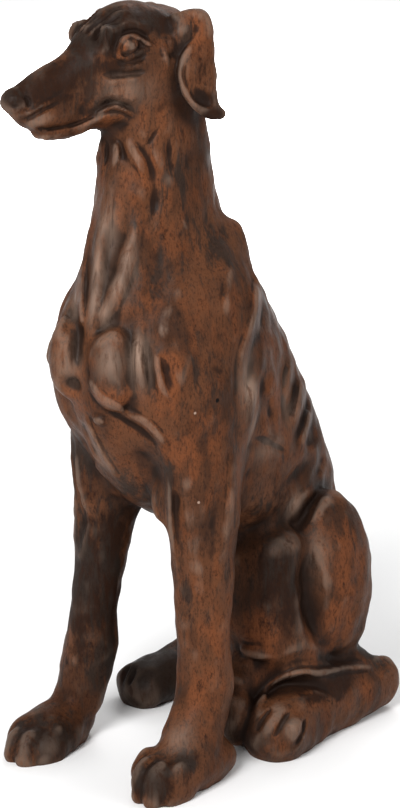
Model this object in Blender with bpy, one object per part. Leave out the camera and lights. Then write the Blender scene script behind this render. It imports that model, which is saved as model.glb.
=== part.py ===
"""A sitting greyhound, cast in one piece and standing on its paws, hocks and rump.

The form is modelled like clay. Lumps, limbs, hollows and grooves each change a distance field, and the
surface of the field becomes the mesh, which is thinned and cut flat where it meets the ground.
x is the dog's left, y its back and z up, in metres.
"""

import math

import bmesh
import bpy
import numpy as np
import openvdb
from mathutils import Euler

# Driving dimensions.
CHEST_HALF_WIDTH = 0.088
CHEST_HEIGHT = 0.402
NECK_HALF_WIDTH = 0.045
RUMP_BACK = 0.357
PAW_X = 0.081
PAW_Y = 0.019
RIGHT_PAW_X = -0.087
RIGHT_PAW_Y = 0.004
RIGHT_HAUNCH_IN = 0.030
RIGHT_HAUNCH_BACK = 0.018
HEAD_PLACE = (0.0, 0.065, 0.734)
HEAD_TURN = (12.5, 0.0, -16.0)

# The block of clay that the dog is cut from, and how finely the surface is read.
BLOCK_LOW = (-0.190, -0.160, -0.012)
BLOCK_HIGH = (0.190, 0.430, 0.800)
CELL = 0.005
CELLS_PER_BLOCK = 4
FACETS = 9600

# How far a lump's field is worked out beyond the lump, and the field's value where none is.
REACH = 0.018
FAR = 0.050
SAMPLES_PER_SPAN = 8
# How far up and down a column's lean is read.
PROBE = 0.004
# A block is sampled finely when the surface is this many block sizes from its middle, or nearer.
NEAR_BLOCKS = 1.3
# A stroke's width at its ends, and how much of its reach it holds at full depth.
NARROWEST = 0.6
FULL_REACH = 1 / 3
TINY = 1e-6

SIDE = (1, 0, 0)
UPRIGHT = (0, 0, 1)
# Out of the front quarter of the body and of the face, on the left (1) and the right (-1).
QUARTER = {1: (0.65, -0.72, 0.26), -1: (-0.65, -0.72, 0.26)}
FACE_QUARTER = {1: (0.82, -0.44, 0.36), -1: (-0.82, -0.44, 0.36)}

BROWN_PATINA = (0.075, 0.034, 0.019, 1.0)
PATINA_ROUGHNESS = 0.5
PATINA_METALLIC = 0.0


# ---------------------------------------------------------------- clay


class Frame:
    """A place and a turn: x to the left, y backwards and z up, carried with a part."""

    def __init__(self, origin=(0.0, 0.0, 0.0), turn=(0.0, 0.0, 0.0)):
        self.origin = np.array(origin, float)
        self.axes = turned(turn)

    def out(self, point):
        return self.origin + self.axes @ np.array(point, float)


def turned(degrees):
    return np.array(Euler([math.radians(angle) for angle in degrees]).to_matrix())


WORLD = Frame()
HEAD = Frame(HEAD_PLACE, HEAD_TURN)


class Lump:
    """One change to the clay: the box it acts in, and the change to the field there."""

    def __init__(self, low, high, change):
        self.low = np.array(low, float)
        self.high = np.array(high, float)
        self.change = change

    def press(self, points, field):
        inside = ((points > self.low) & (points < self.high)).all(axis=1)
        index = np.flatnonzero(inside)
        if len(index):
            field[index] = self.change(points[index], field[index])


def smooth_union(field, lump, blend):
    overlap = np.maximum(blend - np.abs(field - lump), 0.0)
    return np.minimum(field, lump) - overlap * overlap / (4.0 * blend)


def oval(local, radii):
    """About the distance to an ellipse or an ellipsoid."""
    near = np.sqrt(((local / radii) ** 2).sum(axis=1))
    slope = np.sqrt(((local / radii**2) ** 2).sum(axis=1))
    return near * (near - 1.0) / np.maximum(slope, TINY)


def ball_box(centre, axes, radii, margin):
    half = np.sqrt(((axes * radii) ** 2).sum(axis=1)) + margin
    return centre - half, centre + half


def ball(centre, radii, turn=(0, 0, 0), blend=0.012, place=WORLD):
    """An oval lump, melted into what is there."""
    centre = place.out(centre)
    axes = place.axes @ turned(turn)
    radii = np.array(radii, float)

    def change(points, field):
        return smooth_union(field, oval((points - centre) @ axes, radii), blend)

    return Lump(*ball_box(centre, axes, radii, blend + REACH), change)


def scoop(centre, radii, turn=(0, 0, 0), blend=0.006, place=WORLD):
    """An oval hollow."""
    centre = place.out(centre)
    axes = place.axes @ turned(turn)
    radii = np.array(radii, float)

    def change(points, field):
        return -smooth_union(-field, oval((points - centre) @ axes, radii), blend)

    return Lump(*ball_box(centre, axes, radii, blend), change)


def dent(centre, radii, depth, turn=(0, 0, 0), place=WORLD):
    """Lowers the surface gently by depth inside an oval."""
    centre = place.out(centre)
    axes = place.axes @ turned(turn)
    radii = np.array(radii, float)

    def change(points, field):
        spread = (((points - centre) @ axes / radii) ** 2).sum(axis=1)
        return field + depth * np.maximum(1.0 - spread, 0.0) ** 2

    return Lump(*ball_box(centre, axes, radii, 0.0), change)


def smooth_path(rows):
    """Points along the Catmull-Rom curve through the rows."""
    rows = np.array(rows, float)
    ends = np.vstack([2 * rows[0] - rows[1], rows, 2 * rows[-1] - rows[-2]])
    t = np.linspace(0.0, 1.0, SAMPLES_PER_SPAN, endpoint=False)[:, None]
    spans = []
    for a, b, c, d in zip(ends, ends[1:], ends[2:], ends[3:]):
        bend = (2 * a - 5 * b + 4 * c - d) * t**2
        twist = (3 * b - a - 3 * c + d) * t**3
        spans.append(0.5 * (2 * b + (c - a) * t + bend + twist))
    return np.vstack(spans + [rows[-1:]])


def nearest_on_path(points, path):
    """For each point: the span of the path it is nearest to, how far along, and the distance."""
    best = np.full(len(points), np.inf)
    span = np.zeros(len(points), int)
    along = np.zeros(len(points))
    for index, (start, end) in enumerate(zip(path, path[1:])):
        step = end - start
        away = points - start
        t = np.clip(away @ step / max(step @ step, TINY**2), 0.0, 1.0)
        distance = ((away - t[:, None] * step) ** 2).sum(axis=1)
        closer = distance < best
        best[closer] = distance[closer]
        span[closer] = index
        along[closer] = t[closer]
    return span, along, np.sqrt(best)


def limb(stations, side=SIDE, blend=0.012, place=WORLD):
    """A round-ended tube. Each station is its centre and its half sizes across and through."""
    path = smooth_path([(*place.out(row[:3]), row[3], row[4]) for row in stations])
    run = np.gradient(path[:, :3], axis=0)
    run /= np.linalg.norm(run, axis=1)[:, None]
    across = place.axes @ np.array(side, float)
    across = across - (run @ across)[:, None] * run
    across /= np.linalg.norm(across, axis=1)[:, None]
    table = np.hstack([path, run, across, np.cross(run, across)])

    def change(points, field):
        span, along, _ = nearest_on_path(points, path[:, :3])
        here = table[span] + along[:, None] * (table[span + 1] - table[span])
        away = points - here[:, :3]
        local = [(away * here[:, first:first + 3]).sum(axis=1) for first in (8, 11, 5)]
        sizes = [here[:, 3], here[:, 4], np.minimum(here[:, 3], here[:, 4])]
        return smooth_union(field, oval(np.stack(local, axis=1), np.stack(sizes, axis=1)), blend)

    margin = path[:, 3:5].max() + blend + REACH
    return Lump(path[:, :3].min(axis=0) - margin, path[:, :3].max(axis=0) + margin, change)


def column(profile, widest, blend=0.012):
    """An upright body from rows of height, front, back and half width. Its section at each height is
    an egg whose widest place is that share of the way back."""
    rows = smooth_path(profile)
    heights = rows[:, 0]

    def section(points, rise):
        front, back, half = (np.interp(points[:, 2] + rise, heights, rows[:, i]) for i in (1, 2, 3))
        middle = front + widest * (back - front)
        y = points[:, 1] - middle
        depth = np.where(y < 0, middle - front, back - middle)
        return oval(np.stack([points[:, 0], y], axis=1), np.stack([half, depth], axis=1))

    def change(points, field):
        lean = (section(points, PROBE) - section(points, -PROBE)) / (2 * PROBE)
        wall = section(points, 0.0) / np.sqrt(1.0 + lean**2)
        lid = np.maximum(heights[0] - points[:, 2], points[:, 2] - heights[-1])
        return smooth_union(field, np.maximum(wall, lid), blend)

    margin = blend + REACH
    low = (-rows[:, 3].max() - margin, rows[:, 1].min() - margin, heights[0] - margin)
    high = (rows[:, 3].max() + margin, rows[:, 2].max() + margin, heights[-1] + margin)
    return Lump(low, high, change)


def stroke(route, width, depth, press=SIDE, reach=0.030, place=WORLD, fade=0.4):
    """A groove along a route near the surface, seen along press. It narrows and fades out at both
    ends, over a share of its length. A negative depth is a ridge."""
    path = smooth_path([place.out(point) for point in route])
    press = place.axes @ np.array(press, float)
    press /= np.linalg.norm(press)
    levels = path @ press
    flat = path - levels[:, None] * press
    length = np.concatenate([[0.0], np.cumsum(np.linalg.norm(np.diff(flat, axis=0), axis=1))])

    def change(points, field):
        level = points @ press
        span, along, distance = nearest_on_path(points - level[:, None] * press, flat)
        run = (length[span] + along * (length[span + 1] - length[span])) / length[-1]
        ends = np.clip(np.minimum(run, 1.0 - run) / fade, 0.0, 1.0)
        ends *= ends * (3.0 - 2.0 * ends)
        away = np.abs(level - levels[span] - along * (levels[span + 1] - levels[span]))
        layer = np.clip(1.0 - (away - FULL_REACH * reach) / (reach - FULL_REACH * reach), 0.0, 1.0)
        here = width * (NARROWEST + (1.0 - NARROWEST) * ends)
        across = np.maximum(1.0 - (distance / here) ** 2, 0.0) ** 2
        return field + depth * ends * across * layer

    margin = width + reach * np.abs(press)
    return Lump(path.min(axis=0) - margin, path.max(axis=0) + margin, change)


def ridge(route, width, height, press=SIDE, **more):
    return stroke(route, width, -height, press, **more)


def clay_field(lumps, points):
    field = np.full(len(points), FAR)
    for lump in lumps:
        lump.press(points, field)
    return field


def sampled(lumps, low, high, cell):
    """The field on a regular grid, worked out in full only near the surface."""
    block = cell * CELLS_PER_BLOCK
    counts = np.ceil((np.array(high) - low) / block).astype(int)
    axes = [low[i] + block * (np.arange(counts[i]) + 0.5) for i in range(3)]
    centres = np.stack(np.meshgrid(*axes, indexing="ij"), axis=-1).reshape(-1, 3)
    rough = clay_field(lumps, centres)
    near = np.flatnonzero(np.abs(rough) < NEAR_BLOCKS * block)
    blocks = np.repeat(rough.astype(np.float32)[:, None], CELLS_PER_BLOCK**3, axis=1)
    steps = (np.arange(CELLS_PER_BLOCK) + 0.5) * cell - block / 2
    inner = np.stack(np.meshgrid(steps, steps, steps, indexing="ij"), axis=-1).reshape(-1, 3)
    points = (centres[near][:, None, :] + inner).reshape(-1, 3)
    blocks[near] = clay_field(lumps, points).reshape(len(near), -1)
    grid = blocks.reshape(*counts, CELLS_PER_BLOCK, CELLS_PER_BLOCK, CELLS_PER_BLOCK)
    return grid.transpose(0, 3, 1, 4, 2, 5).reshape(counts * CELLS_PER_BLOCK)


def skin(lumps, low, high, cell):
    """Points and four-sided faces of the surface of the clay."""
    grid = openvdb.FloatGrid(FAR)
    grid.copyFromArray(np.ascontiguousarray(sampled(lumps, low, high, cell)))
    points, _, quads = grid.convertToPolygons(0.0)
    return points * cell + (np.array(low) + cell / 2), quads


# ---------------------------------------------------------------- the dog


def on_side(side, *points):
    """The same points on the left (1) or the right (-1) of the dog."""
    return [(side * point[0], *point[1:]) for point in points]


def trunk():
    """Rump, chest and neck, with the shoulder masses and the withers."""
    profile = (
        (-0.030, 0.225, RUMP_BACK - 0.007, 0.064),
        (0.050, 0.225, RUMP_BACK, 0.068),
        (0.125, 0.215, RUMP_BACK + 0.004, 0.068),
        (0.180, 0.197, RUMP_BACK + 0.002, 0.066),
        (0.216, 0.164, RUMP_BACK - 0.007, 0.064),
        (0.245, 0.108, 0.344, 0.067),
        (0.267, 0.066, 0.339, 0.073),
        (0.296, 0.030, 0.324, 0.078),
        (0.350, -0.002, 0.297, 0.084),
        (CHEST_HEIGHT, -0.022, 0.264, CHEST_HALF_WIDTH),
        (0.443, -0.026, 0.238, 0.086),
        (0.492, -0.014, 0.206, 0.079),
        (0.549, 0.003, 0.168, 0.059),
        (0.598, 0.0135, 0.147, 0.050),
        (0.655, 0.021, 0.139, NECK_HALF_WIDTH),
        (0.720, 0.026, 0.118, 0.040),
    )
    lumps = [column(profile, widest=0.45)]
    for side in (1, -1):
        lumps += [
            ball((side * 0.050, 0.088, 0.432), (0.041, 0.060, 0.100), (-20, 0, 0), 0.03),
            ball((side * 0.058, 0.036, 0.415), (0.034, 0.036, 0.064), blend=0.02),
            ball((side * 0.047, 0.042, 0.462), (0.022, 0.026, 0.046), blend=0.02),
            ball((side * 0.036, 0.130, 0.519), (0.022, 0.034, 0.046), (-26, 0, 0), 0.012),
        ]
    return lumps


def neck():
    """The cords that run down from the jaw and close on the breastbone, and the hollows between them."""
    right_cord = ((0.003, 0.018, 0.636), (-0.002, 0.015, 0.602), (-0.003, 0.005, 0.564),
                  (0.002, -0.007, 0.522), (0.008, -0.018, 0.486), (0.008, -0.027, 0.458))
    left_cord = ((0.034, 0.024, 0.590), (0.031, 0.004, 0.534), (0.027, -0.008, 0.506),
                 (0.021, -0.019, 0.483), (0.009, -0.027, 0.458))
    between = ((0.008, 0.023, 0.587), (0.008, 0.015, 0.554), (0.008, 0.004, 0.522), (0.012, -0.011, 0.492))
    side_hollow = ((-0.024, 0.014, 0.560), (-0.015, 0.002, 0.534), (-0.006, -0.011, 0.508),
                   (0.004, -0.025, 0.474))
    side_cord = ((-0.034, 0.014, 0.536), (-0.024, 0.000, 0.510), (-0.014, -0.013, 0.488),
                 (-0.006, -0.022, 0.462))
    far_hollow = ((-0.041, 0.012, 0.518), (-0.026, -0.008, 0.494), (-0.018, -0.020, 0.462))
    throat_crack = ((-0.012, 0.020, 0.655), (-0.006, 0.018, 0.640), (-0.008, 0.015, 0.620))
    throat_cord = ((0.000, 0.018, 0.654), (0.006, 0.018, 0.641), (0.000, 0.018, 0.618))
    throat_hollow = ((0.007, 0.019, 0.656), (0.012, 0.020, 0.643), (0.016, 0.021, 0.625))
    return [
        ridge(right_cord, 0.011, 0.006, QUARTER[1]),
        ridge(left_cord, 0.011, 0.006, QUARTER[1]),
        stroke(between, 0.015, 0.005, QUARTER[1]),
        stroke(side_hollow, 0.009, 0.0025, QUARTER[1]),
        ridge(side_cord, 0.005, 0.003, QUARTER[1]),
        stroke(far_hollow, 0.010, 0.0025, QUARTER[1]),
        stroke(throat_crack, 0.0035, 0.003, QUARTER[1]),
        ridge(throat_cord, 0.006, 0.003, QUARTER[1]),
        stroke(throat_hollow, 0.006, 0.002, QUARTER[1]),
    ]


def nape(side):
    """The cords and hollows that run down the side of the neck from the jaw and the ear."""
    jaw_cord = on_side(side, (0.013, 0.020, 0.662), (0.021, 0.024, 0.642), (0.031, 0.028, 0.627),
                             (0.037, 0.030, 0.610))
    jaw_hollow = on_side(side, (0.024, 0.027, 0.657), (0.030, 0.031, 0.642), (0.037, 0.033, 0.625),
                               (0.040, 0.034, 0.605), (0.038, 0.035, 0.585), (0.036, 0.030, 0.562))
    jaw_crease = on_side(side, (0.038, 0.044, 0.664), (0.033, 0.035, 0.650), (0.029, 0.031, 0.644))
    ear_hollow = on_side(side, (0.042, 0.052, 0.660), (0.043, 0.053, 0.636), (0.046, 0.056, 0.608))
    back_hollow = on_side(side, (0.045, 0.071, 0.655), (0.047, 0.073, 0.625), (0.050, 0.069, 0.585))
    thin_fold = on_side(side, (0.051, 0.061, 0.580), (0.053, 0.063, 0.569), (0.056, 0.068, 0.558))
    neck_root = on_side(side, (0.037, 0.032, 0.565), (0.045, 0.031, 0.532), (0.058, 0.024, 0.503),
                              (0.062, 0.013, 0.470))
    shoulder_front = on_side(side, (0.068, 0.032, 0.508), (0.065, 0.022, 0.486), (0.068, 0.012, 0.455))
    return [
        ridge(jaw_cord, 0.008, 0.003, QUARTER[side]),
        stroke(jaw_hollow, 0.009, 0.004, QUARTER[side]),
        stroke(jaw_crease, 0.005, 0.002, QUARTER[side]),
        stroke(ear_hollow, 0.007, 0.003, QUARTER[side]),
        stroke(back_hollow, 0.016, 0.0025, QUARTER[side]),
        ridge(thin_fold, 0.004, 0.0015, QUARTER[side]),
        stroke(neck_root, 0.018, 0.004, QUARTER[side]),
        ridge(shoulder_front, 0.013, 0.003, QUARTER[side]),
    ]


def breast(side):
    """The oval breast muscle and the cords that fan out beside it towards the point of the shoulder."""
    top = on_side(side, (0.040, -0.004, 0.490), (0.027, -0.014, 0.482), (0.011, -0.026, 0.461))
    edge = on_side(side, (0.043, -0.009, 0.470), (0.047, -0.013, 0.442), (0.049, -0.008, 0.410))
    cord = on_side(side, (0.050, 0.004, 0.490), (0.052, -0.001, 0.474), (0.057, -0.006, 0.447),
                         (0.061, -0.008, 0.423), (0.063, -0.002, 0.396))
    cord_hollow = on_side(side, (0.059, 0.003, 0.466), (0.064, 0.001, 0.439), (0.069, 0.002, 0.414))
    thin_cord = on_side(side, (0.064, 0.006, 0.458), (0.071, 0.007, 0.431), (0.081, 0.006, 0.407))
    thin_hollow = on_side(side, (0.069, 0.015, 0.456), (0.080, 0.009, 0.433), (0.087, 0.013, 0.407))
    cleft = on_side(side, (0.075, 0.035, 0.486), (0.082, 0.034, 0.465), (0.087, 0.033, 0.445))
    return [
        ball((side * 0.028, -0.011, 0.435), (0.024, 0.024, 0.042), (0, 0, side * 20), 0.006),
        stroke(top, 0.012, 0.0035, QUARTER[side]),
        stroke(edge, 0.013, 0.004, QUARTER[side]),
        ridge(cord, 0.009, 0.006, QUARTER[side]),
        stroke(cord_hollow, 0.009, 0.004, QUARTER[side]),
        ridge(thin_cord, 0.007, 0.004, QUARTER[side]),
        stroke(thin_hollow, 0.009, 0.003, QUARTER[side]),
        stroke(cleft, 0.011, 0.003, QUARTER[side]),
    ]


def keel():
    """The notch at the breastbone, the lower edge of the left breast and the ridges under the chest."""
    edge = ((-0.002, -0.022, 0.430), (0.013, -0.025, 0.417), (0.027, -0.021, 0.403),
            (0.041, -0.011, 0.393), (0.059, -0.003, 0.385), (0.070, 0.005, 0.372), (0.069, 0.017, 0.350),
            (0.067, 0.023, 0.327))
    under_edge = ((0.020, -0.022, 0.402), (0.041, -0.009, 0.385), (0.058, -0.001, 0.375),
                  (0.063, 0.009, 0.361), (0.055, 0.023, 0.338))
    middle = ((-0.012, -0.016, 0.479), (-0.006, -0.025, 0.455), (-0.009, -0.023, 0.427))
    left_ridge = ((-0.004, -0.021, 0.397), (-0.007, -0.012, 0.369), (-0.003, -0.002, 0.345),
                  (0.005, 0.008, 0.323), (0.004, 0.029, 0.298))
    groove = ((-0.013, -0.017, 0.387), (-0.011, -0.014, 0.368), (-0.006, -0.005, 0.347),
              (0.000, 0.003, 0.330))
    right_ridge = ((-0.050, 0.012, 0.356), (-0.042, 0.012, 0.338), (-0.032, 0.016, 0.320),
                   (-0.010, 0.022, 0.304))
    low_groove = ((-0.062, 0.026, 0.330), (-0.050, 0.030, 0.308), (-0.042, 0.036, 0.290))
    far_edge = ((-0.052, 0.011, 0.491), (-0.048, -0.004, 0.468), (-0.040, -0.022, 0.445))
    far_hollow = ((-0.033, -0.003, 0.496), (-0.028, -0.015, 0.473), (-0.027, -0.025, 0.449))
    armpit = ((0.060, 0.014, 0.345), (0.058, 0.024, 0.320), (0.058, 0.030, 0.296))
    return [
        ball((-0.026, -0.010, 0.431), (0.017, 0.016, 0.028), blend=0.006),
        dent((-0.058, 0.000, 0.398), (0.040, 0.040, 0.050), 0.003),
        stroke(middle, 0.012, 0.006, QUARTER[1]),
        scoop((-0.014, -0.031, 0.413), (0.010, 0.012, 0.009), blend=0.008),
        ridge(edge, 0.007, 0.004, QUARTER[1], fade=0.15),
        stroke(under_edge, 0.006, 0.004, QUARTER[1]),
        ball((0.012, -0.013, 0.381), (0.007, 0.007, 0.005), blend=0.004),
        ridge(left_ridge, 0.006, 0.004, QUARTER[1]),
        stroke(groove, 0.006, 0.004, QUARTER[1]),
        ridge(right_ridge, 0.008, 0.004, QUARTER[1]),
        stroke(low_groove, 0.009, 0.002, QUARTER[1]),
        ridge(far_edge, 0.006, 0.003, QUARTER[1]),
        stroke(far_hollow, 0.009, 0.0025, QUARTER[1]),
        stroke(armpit, 0.014, 0.005, QUARTER[1]),
        ball((0.046, 0.042, 0.300), (0.012, 0.016, 0.026), blend=0.010),
    ]


def shoulder(side):
    """The shoulder blade with its spine, the fold along its rear edge, the upper arm and the elbow fold."""
    spine = on_side(side, (0.071, 0.111, 0.530), (0.086, 0.091, 0.504), (0.091, 0.083, 0.484),
                          (0.092, 0.076, 0.465))
    rear_edge = on_side(side, (0.066, 0.156, 0.508), (0.075, 0.146, 0.486), (0.081, 0.135, 0.466),
                              (0.085, 0.120, 0.449), (0.086, 0.111, 0.432), (0.088, 0.107, 0.406),
                              (0.098, 0.093, 0.380))
    front_groove = on_side(side, (0.094, 0.088, 0.462), (0.097, 0.088, 0.436), (0.097, 0.090, 0.411),
                                 (0.102, 0.081, 0.384))
    rear_groove = on_side(side, (0.066, 0.170, 0.486), (0.084, 0.141, 0.463), (0.090, 0.121, 0.439),
                                (0.093, 0.111, 0.411), (0.097, 0.102, 0.375))
    crease = on_side(side, (0.093, 0.044, 0.440), (0.096, 0.061, 0.431), (0.097, 0.083, 0.426))
    elbow_fold = on_side(side, (0.092, 0.124, 0.425), (0.096, 0.116, 0.391), (0.093, 0.112, 0.361),
                               (0.094, 0.105, 0.338))
    fold_groove = on_side(side, (0.087, 0.140, 0.435), (0.088, 0.137, 0.405), (0.084, 0.152, 0.376),
                                (0.082, 0.168, 0.350), (0.078, 0.190, 0.325))
    return [
        ridge(spine, 0.008, 0.003, QUARTER[side]),
        stroke(rear_groove, 0.016, 0.0045, QUARTER[side], reach=0.040),
        ridge(rear_edge, 0.007, 0.004, QUARTER[side], reach=0.040, fade=0.15),
        stroke(front_groove, 0.010, 0.002, QUARTER[side]),
        ball((side * 0.086, 0.060, 0.408), (0.015, 0.028, 0.026)),
        stroke(crease, 0.010, 0.002, QUARTER[side]),
        ridge(elbow_fold, 0.016, 0.008, QUARTER[side]),
        stroke(fold_groove, 0.010, 0.003, QUARTER[side]),
    ]


def ribs(side):
    """The hollows and ridges of the ribs, slanting down and forwards, and the drawn-in flank."""
    hollows = (
        on_side(side, (0.060, 0.210, 0.424), (0.073, 0.192, 0.401), (0.074, 0.185, 0.372),
                (0.082, 0.166, 0.350)),
        on_side(side, (0.052, 0.234, 0.404), (0.064, 0.216, 0.388), (0.074, 0.198, 0.365),
                (0.072, 0.191, 0.333)),
        on_side(side, (0.046, 0.262, 0.368), (0.056, 0.245, 0.347), (0.064, 0.228, 0.330),
                (0.069, 0.209, 0.308)),
        on_side(side, (0.046, 0.276, 0.338), (0.056, 0.258, 0.318), (0.060, 0.238, 0.298)),
    )
    ridges = (
        on_side(side, (0.056, 0.222, 0.414), (0.068, 0.205, 0.390), (0.076, 0.190, 0.358)),
        on_side(side, (0.052, 0.246, 0.384), (0.062, 0.228, 0.358), (0.070, 0.208, 0.326)),
        on_side(side, (0.048, 0.266, 0.350), (0.058, 0.246, 0.330), (0.064, 0.228, 0.308)),
    )
    fold = on_side(side, (0.086, 0.124, 0.348), (0.088, 0.142, 0.342), (0.080, 0.171, 0.328),
                         (0.070, 0.206, 0.310))
    flank = on_side(side, (0.050, 0.286, 0.300), (0.058, 0.269, 0.280), (0.066, 0.246, 0.266))
    lumps = [stroke(hollow, 0.011, 0.0055, QUARTER[side]) for hollow in hollows]
    lumps += [ridge(rib, 0.007, 0.004, QUARTER[side]) for rib in ridges]
    return lumps + [
        stroke(fold, 0.008, 0.004, QUARTER[side]),
        stroke(flank, 0.008, 0.003, QUARTER[side]),
        dent((side * 0.074, 0.222, 0.286), (0.030, 0.046, 0.020), 0.007, (20, 0, 0)),
    ]


def foreleg(stations, side, back):
    """A straight foreleg, grooved down the front between bone and muscle, with a sharp rear edge."""
    groove = on_side(side, (0.072, 0.023 + back, 0.346), (0.075, 0.027 + back, 0.318),
                           (0.075, 0.031 + back, 0.270), (0.080, 0.034 + back, 0.219),
                           (0.084, 0.036 + back, 0.190))
    front_ridge = on_side(side, (0.068, 0.021 + back, 0.342), (0.067, 0.025 + back, 0.307),
                                (0.067, 0.027 + back, 0.275), (0.068, 0.031 + back, 0.240))
    rear_edge = on_side(side, (0.103, 0.078 + back, 0.378), (0.104, 0.078 + back, 0.333),
                              (0.105, 0.074 + back, 0.298), (0.105, 0.068 + back, 0.260),
                              (0.104, 0.064 + back, 0.220))
    outer_hollow = on_side(side, (0.101, 0.052 + back, 0.340), (0.102, 0.050 + back, 0.290),
                                 (0.100, 0.049 + back, 0.241), (0.100, 0.050 + back, 0.170))
    return [
        limb(stations, blend=0.02),
        stroke(groove, 0.009, 0.004, QUARTER[side]),
        ridge(front_ridge, 0.006, 0.003, QUARTER[side]),
        ridge(rear_edge, 0.007, 0.003, QUARTER[side]),
        stroke(outer_hollow, 0.009, 0.0025, QUARTER[side]),
    ]


def left_foreleg():
    stations = (
        (0.067, 0.070, 0.370, 0.036, 0.050),
        (0.072, 0.069, 0.290, 0.033, 0.044),
        (0.075, 0.066, 0.210, 0.029, 0.032),
        (0.078, 0.063, 0.140, 0.027, 0.028),
        (PAW_X, 0.060, 0.088, 0.028, 0.030),
        (PAW_X, 0.041, 0.050, 0.029, 0.030),
    )
    return foreleg(stations, 1, 0.0) + front_paw(PAW_X, PAW_Y, (0.004, 0.036), 0.006)


def right_foreleg():
    stations = (
        (-0.066, 0.082, 0.370, 0.034, 0.050),
        (-0.069, 0.080, 0.290, 0.032, 0.043),
        (-0.074, 0.074, 0.215, 0.028, 0.030),
        (-0.077, 0.064, 0.150, 0.024, 0.025),
        (-0.082, 0.061, 0.092, 0.029, 0.028),
        (-0.089, 0.052, 0.050, 0.027, 0.025),
    )
    return foreleg(stations, -1, 0.011) + front_paw(RIGHT_PAW_X, RIGHT_PAW_Y, (-0.006, 0.022), -0.004)


def front_paw(x, y, heel, rise):
    """A paw pointing forward, with four knuckled toes, their nails and the heel pad behind."""
    lumps = [
        ball((x, y, 0.019 + rise), (0.031, 0.044, 0.026), (8, 0, 0), 0.016),
        ball((x + heel[0], y + heel[1], 0.018), (0.023, 0.043, 0.026), blend=0.022),
    ]
    for across, ahead, size in ((-0.022, 0.016, 0.013), (-0.008, 0.032, 0.014), (0.009, 0.031, 0.014),
                                (0.021, 0.015, 0.012)):
        toe = (x + across, y - ahead, 0.015 + 0.7 * rise)
        nail = (x + across, y - ahead - 0.012, 0.007)
        lumps.append(ball(toe, (size, 0.023, 0.023 + 0.3 * rise), (18, 0, 0), 0.004))
        lumps.append(ball(nail, (0.5 * size, 0.011, 0.008), (10, 0, 0), 0.006))
    return lumps


def hind_leg(side):
    """The thigh, the knee and folded shank before it, and the fold of skin from the flank. The right
    leg is drawn in and back."""
    inward, back = (0.0, 0.0) if side > 0 else (RIGHT_HAUNCH_IN, RIGHT_HAUNCH_BACK)

    def drawn(x, y, *rest):
        return (side * (x - inward), y + back, *rest)

    shank = (drawn(0.064, 0.192, 0.204, 0.030, 0.032), drawn(0.068, 0.188, 0.130, 0.032, 0.034),
             drawn(0.080, 0.222, 0.066, 0.034, 0.030), drawn(0.088, 0.290, 0.042, 0.026, 0.026))
    flank_fold = (drawn(0.064, 0.208, 0.232), drawn(0.071, 0.216, 0.250), drawn(0.071, 0.233, 0.259),
                  drawn(0.063, 0.262, 0.262))
    thigh_crease = (drawn(0.080, 0.206, 0.221), drawn(0.075, 0.230, 0.241), drawn(0.076, 0.248, 0.254),
                    drawn(0.076, 0.272, 0.256))
    knee_groove = (drawn(0.083, 0.213, 0.217), drawn(0.091, 0.208, 0.182), drawn(0.092, 0.214, 0.141),
                   drawn(0.100, 0.211, 0.105))
    thigh_ridge = (drawn(0.089, 0.234, 0.235), drawn(0.096, 0.224, 0.206), drawn(0.103, 0.227, 0.179),
                   drawn(0.107, 0.233, 0.145))
    return [
        ball(drawn(0.070, 0.266, 0.156), (0.045, 0.060, 0.102), (4, 0, 0), 0.006),
        limb(shank, blend=0.014),
        ridge(flank_fold, 0.010, 0.006, QUARTER[side]),
        stroke(thigh_crease, 0.008, 0.006, QUARTER[side]),
        stroke(knee_groove, 0.022, 0.007, QUARTER[side]),
        ridge(thigh_ridge, 0.012, 0.003, QUARTER[side]),
    ]


def hind_foot(side):
    """The long foot flat on the ground and the hollow over its hock. The left foot has a raised rim,
    with hollows beside it, and the right one is lower and plain, with its toes marked."""
    inward, back = (0.0, 0.0) if side > 0 else (RIGHT_HAUNCH_IN, RIGHT_HAUNCH_BACK)
    lower = 0.6 * back
    foot = ((side * (0.103 - 0.5 * inward), 0.326, 0.030, 0.021, 0.028),
            (side * (0.097 - 0.3 * inward), 0.260, 0.032, 0.027, 0.038),
            (side * 0.094, 0.207 + 0.3 * back, 0.030 - 0.4 * lower, 0.030, 0.040 - lower),
            (side * (0.096 + 0.2 * inward), 0.157 + 0.3 * back, 0.024 - 0.5 * lower, 0.036 - 0.4 * lower,
             0.038 - lower))
    hock_hollow = ((side * 0.099, 0.288 + back, 0.084), (side * 0.103, 0.303 + back, 0.074),
                   (side * 0.107, 0.317 + back, 0.062))
    lumps = [
        limb(foot, blend=0.005),
        ball((side * 0.092, 0.300 + back, 0.058), (0.018, 0.022, 0.020), blend=0.012),
        stroke(hock_hollow, 0.010, 0.007, QUARTER[side]),
    ]
    return lumps + (left_foot_carving() if side > 0 else right_foot_carving())


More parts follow.
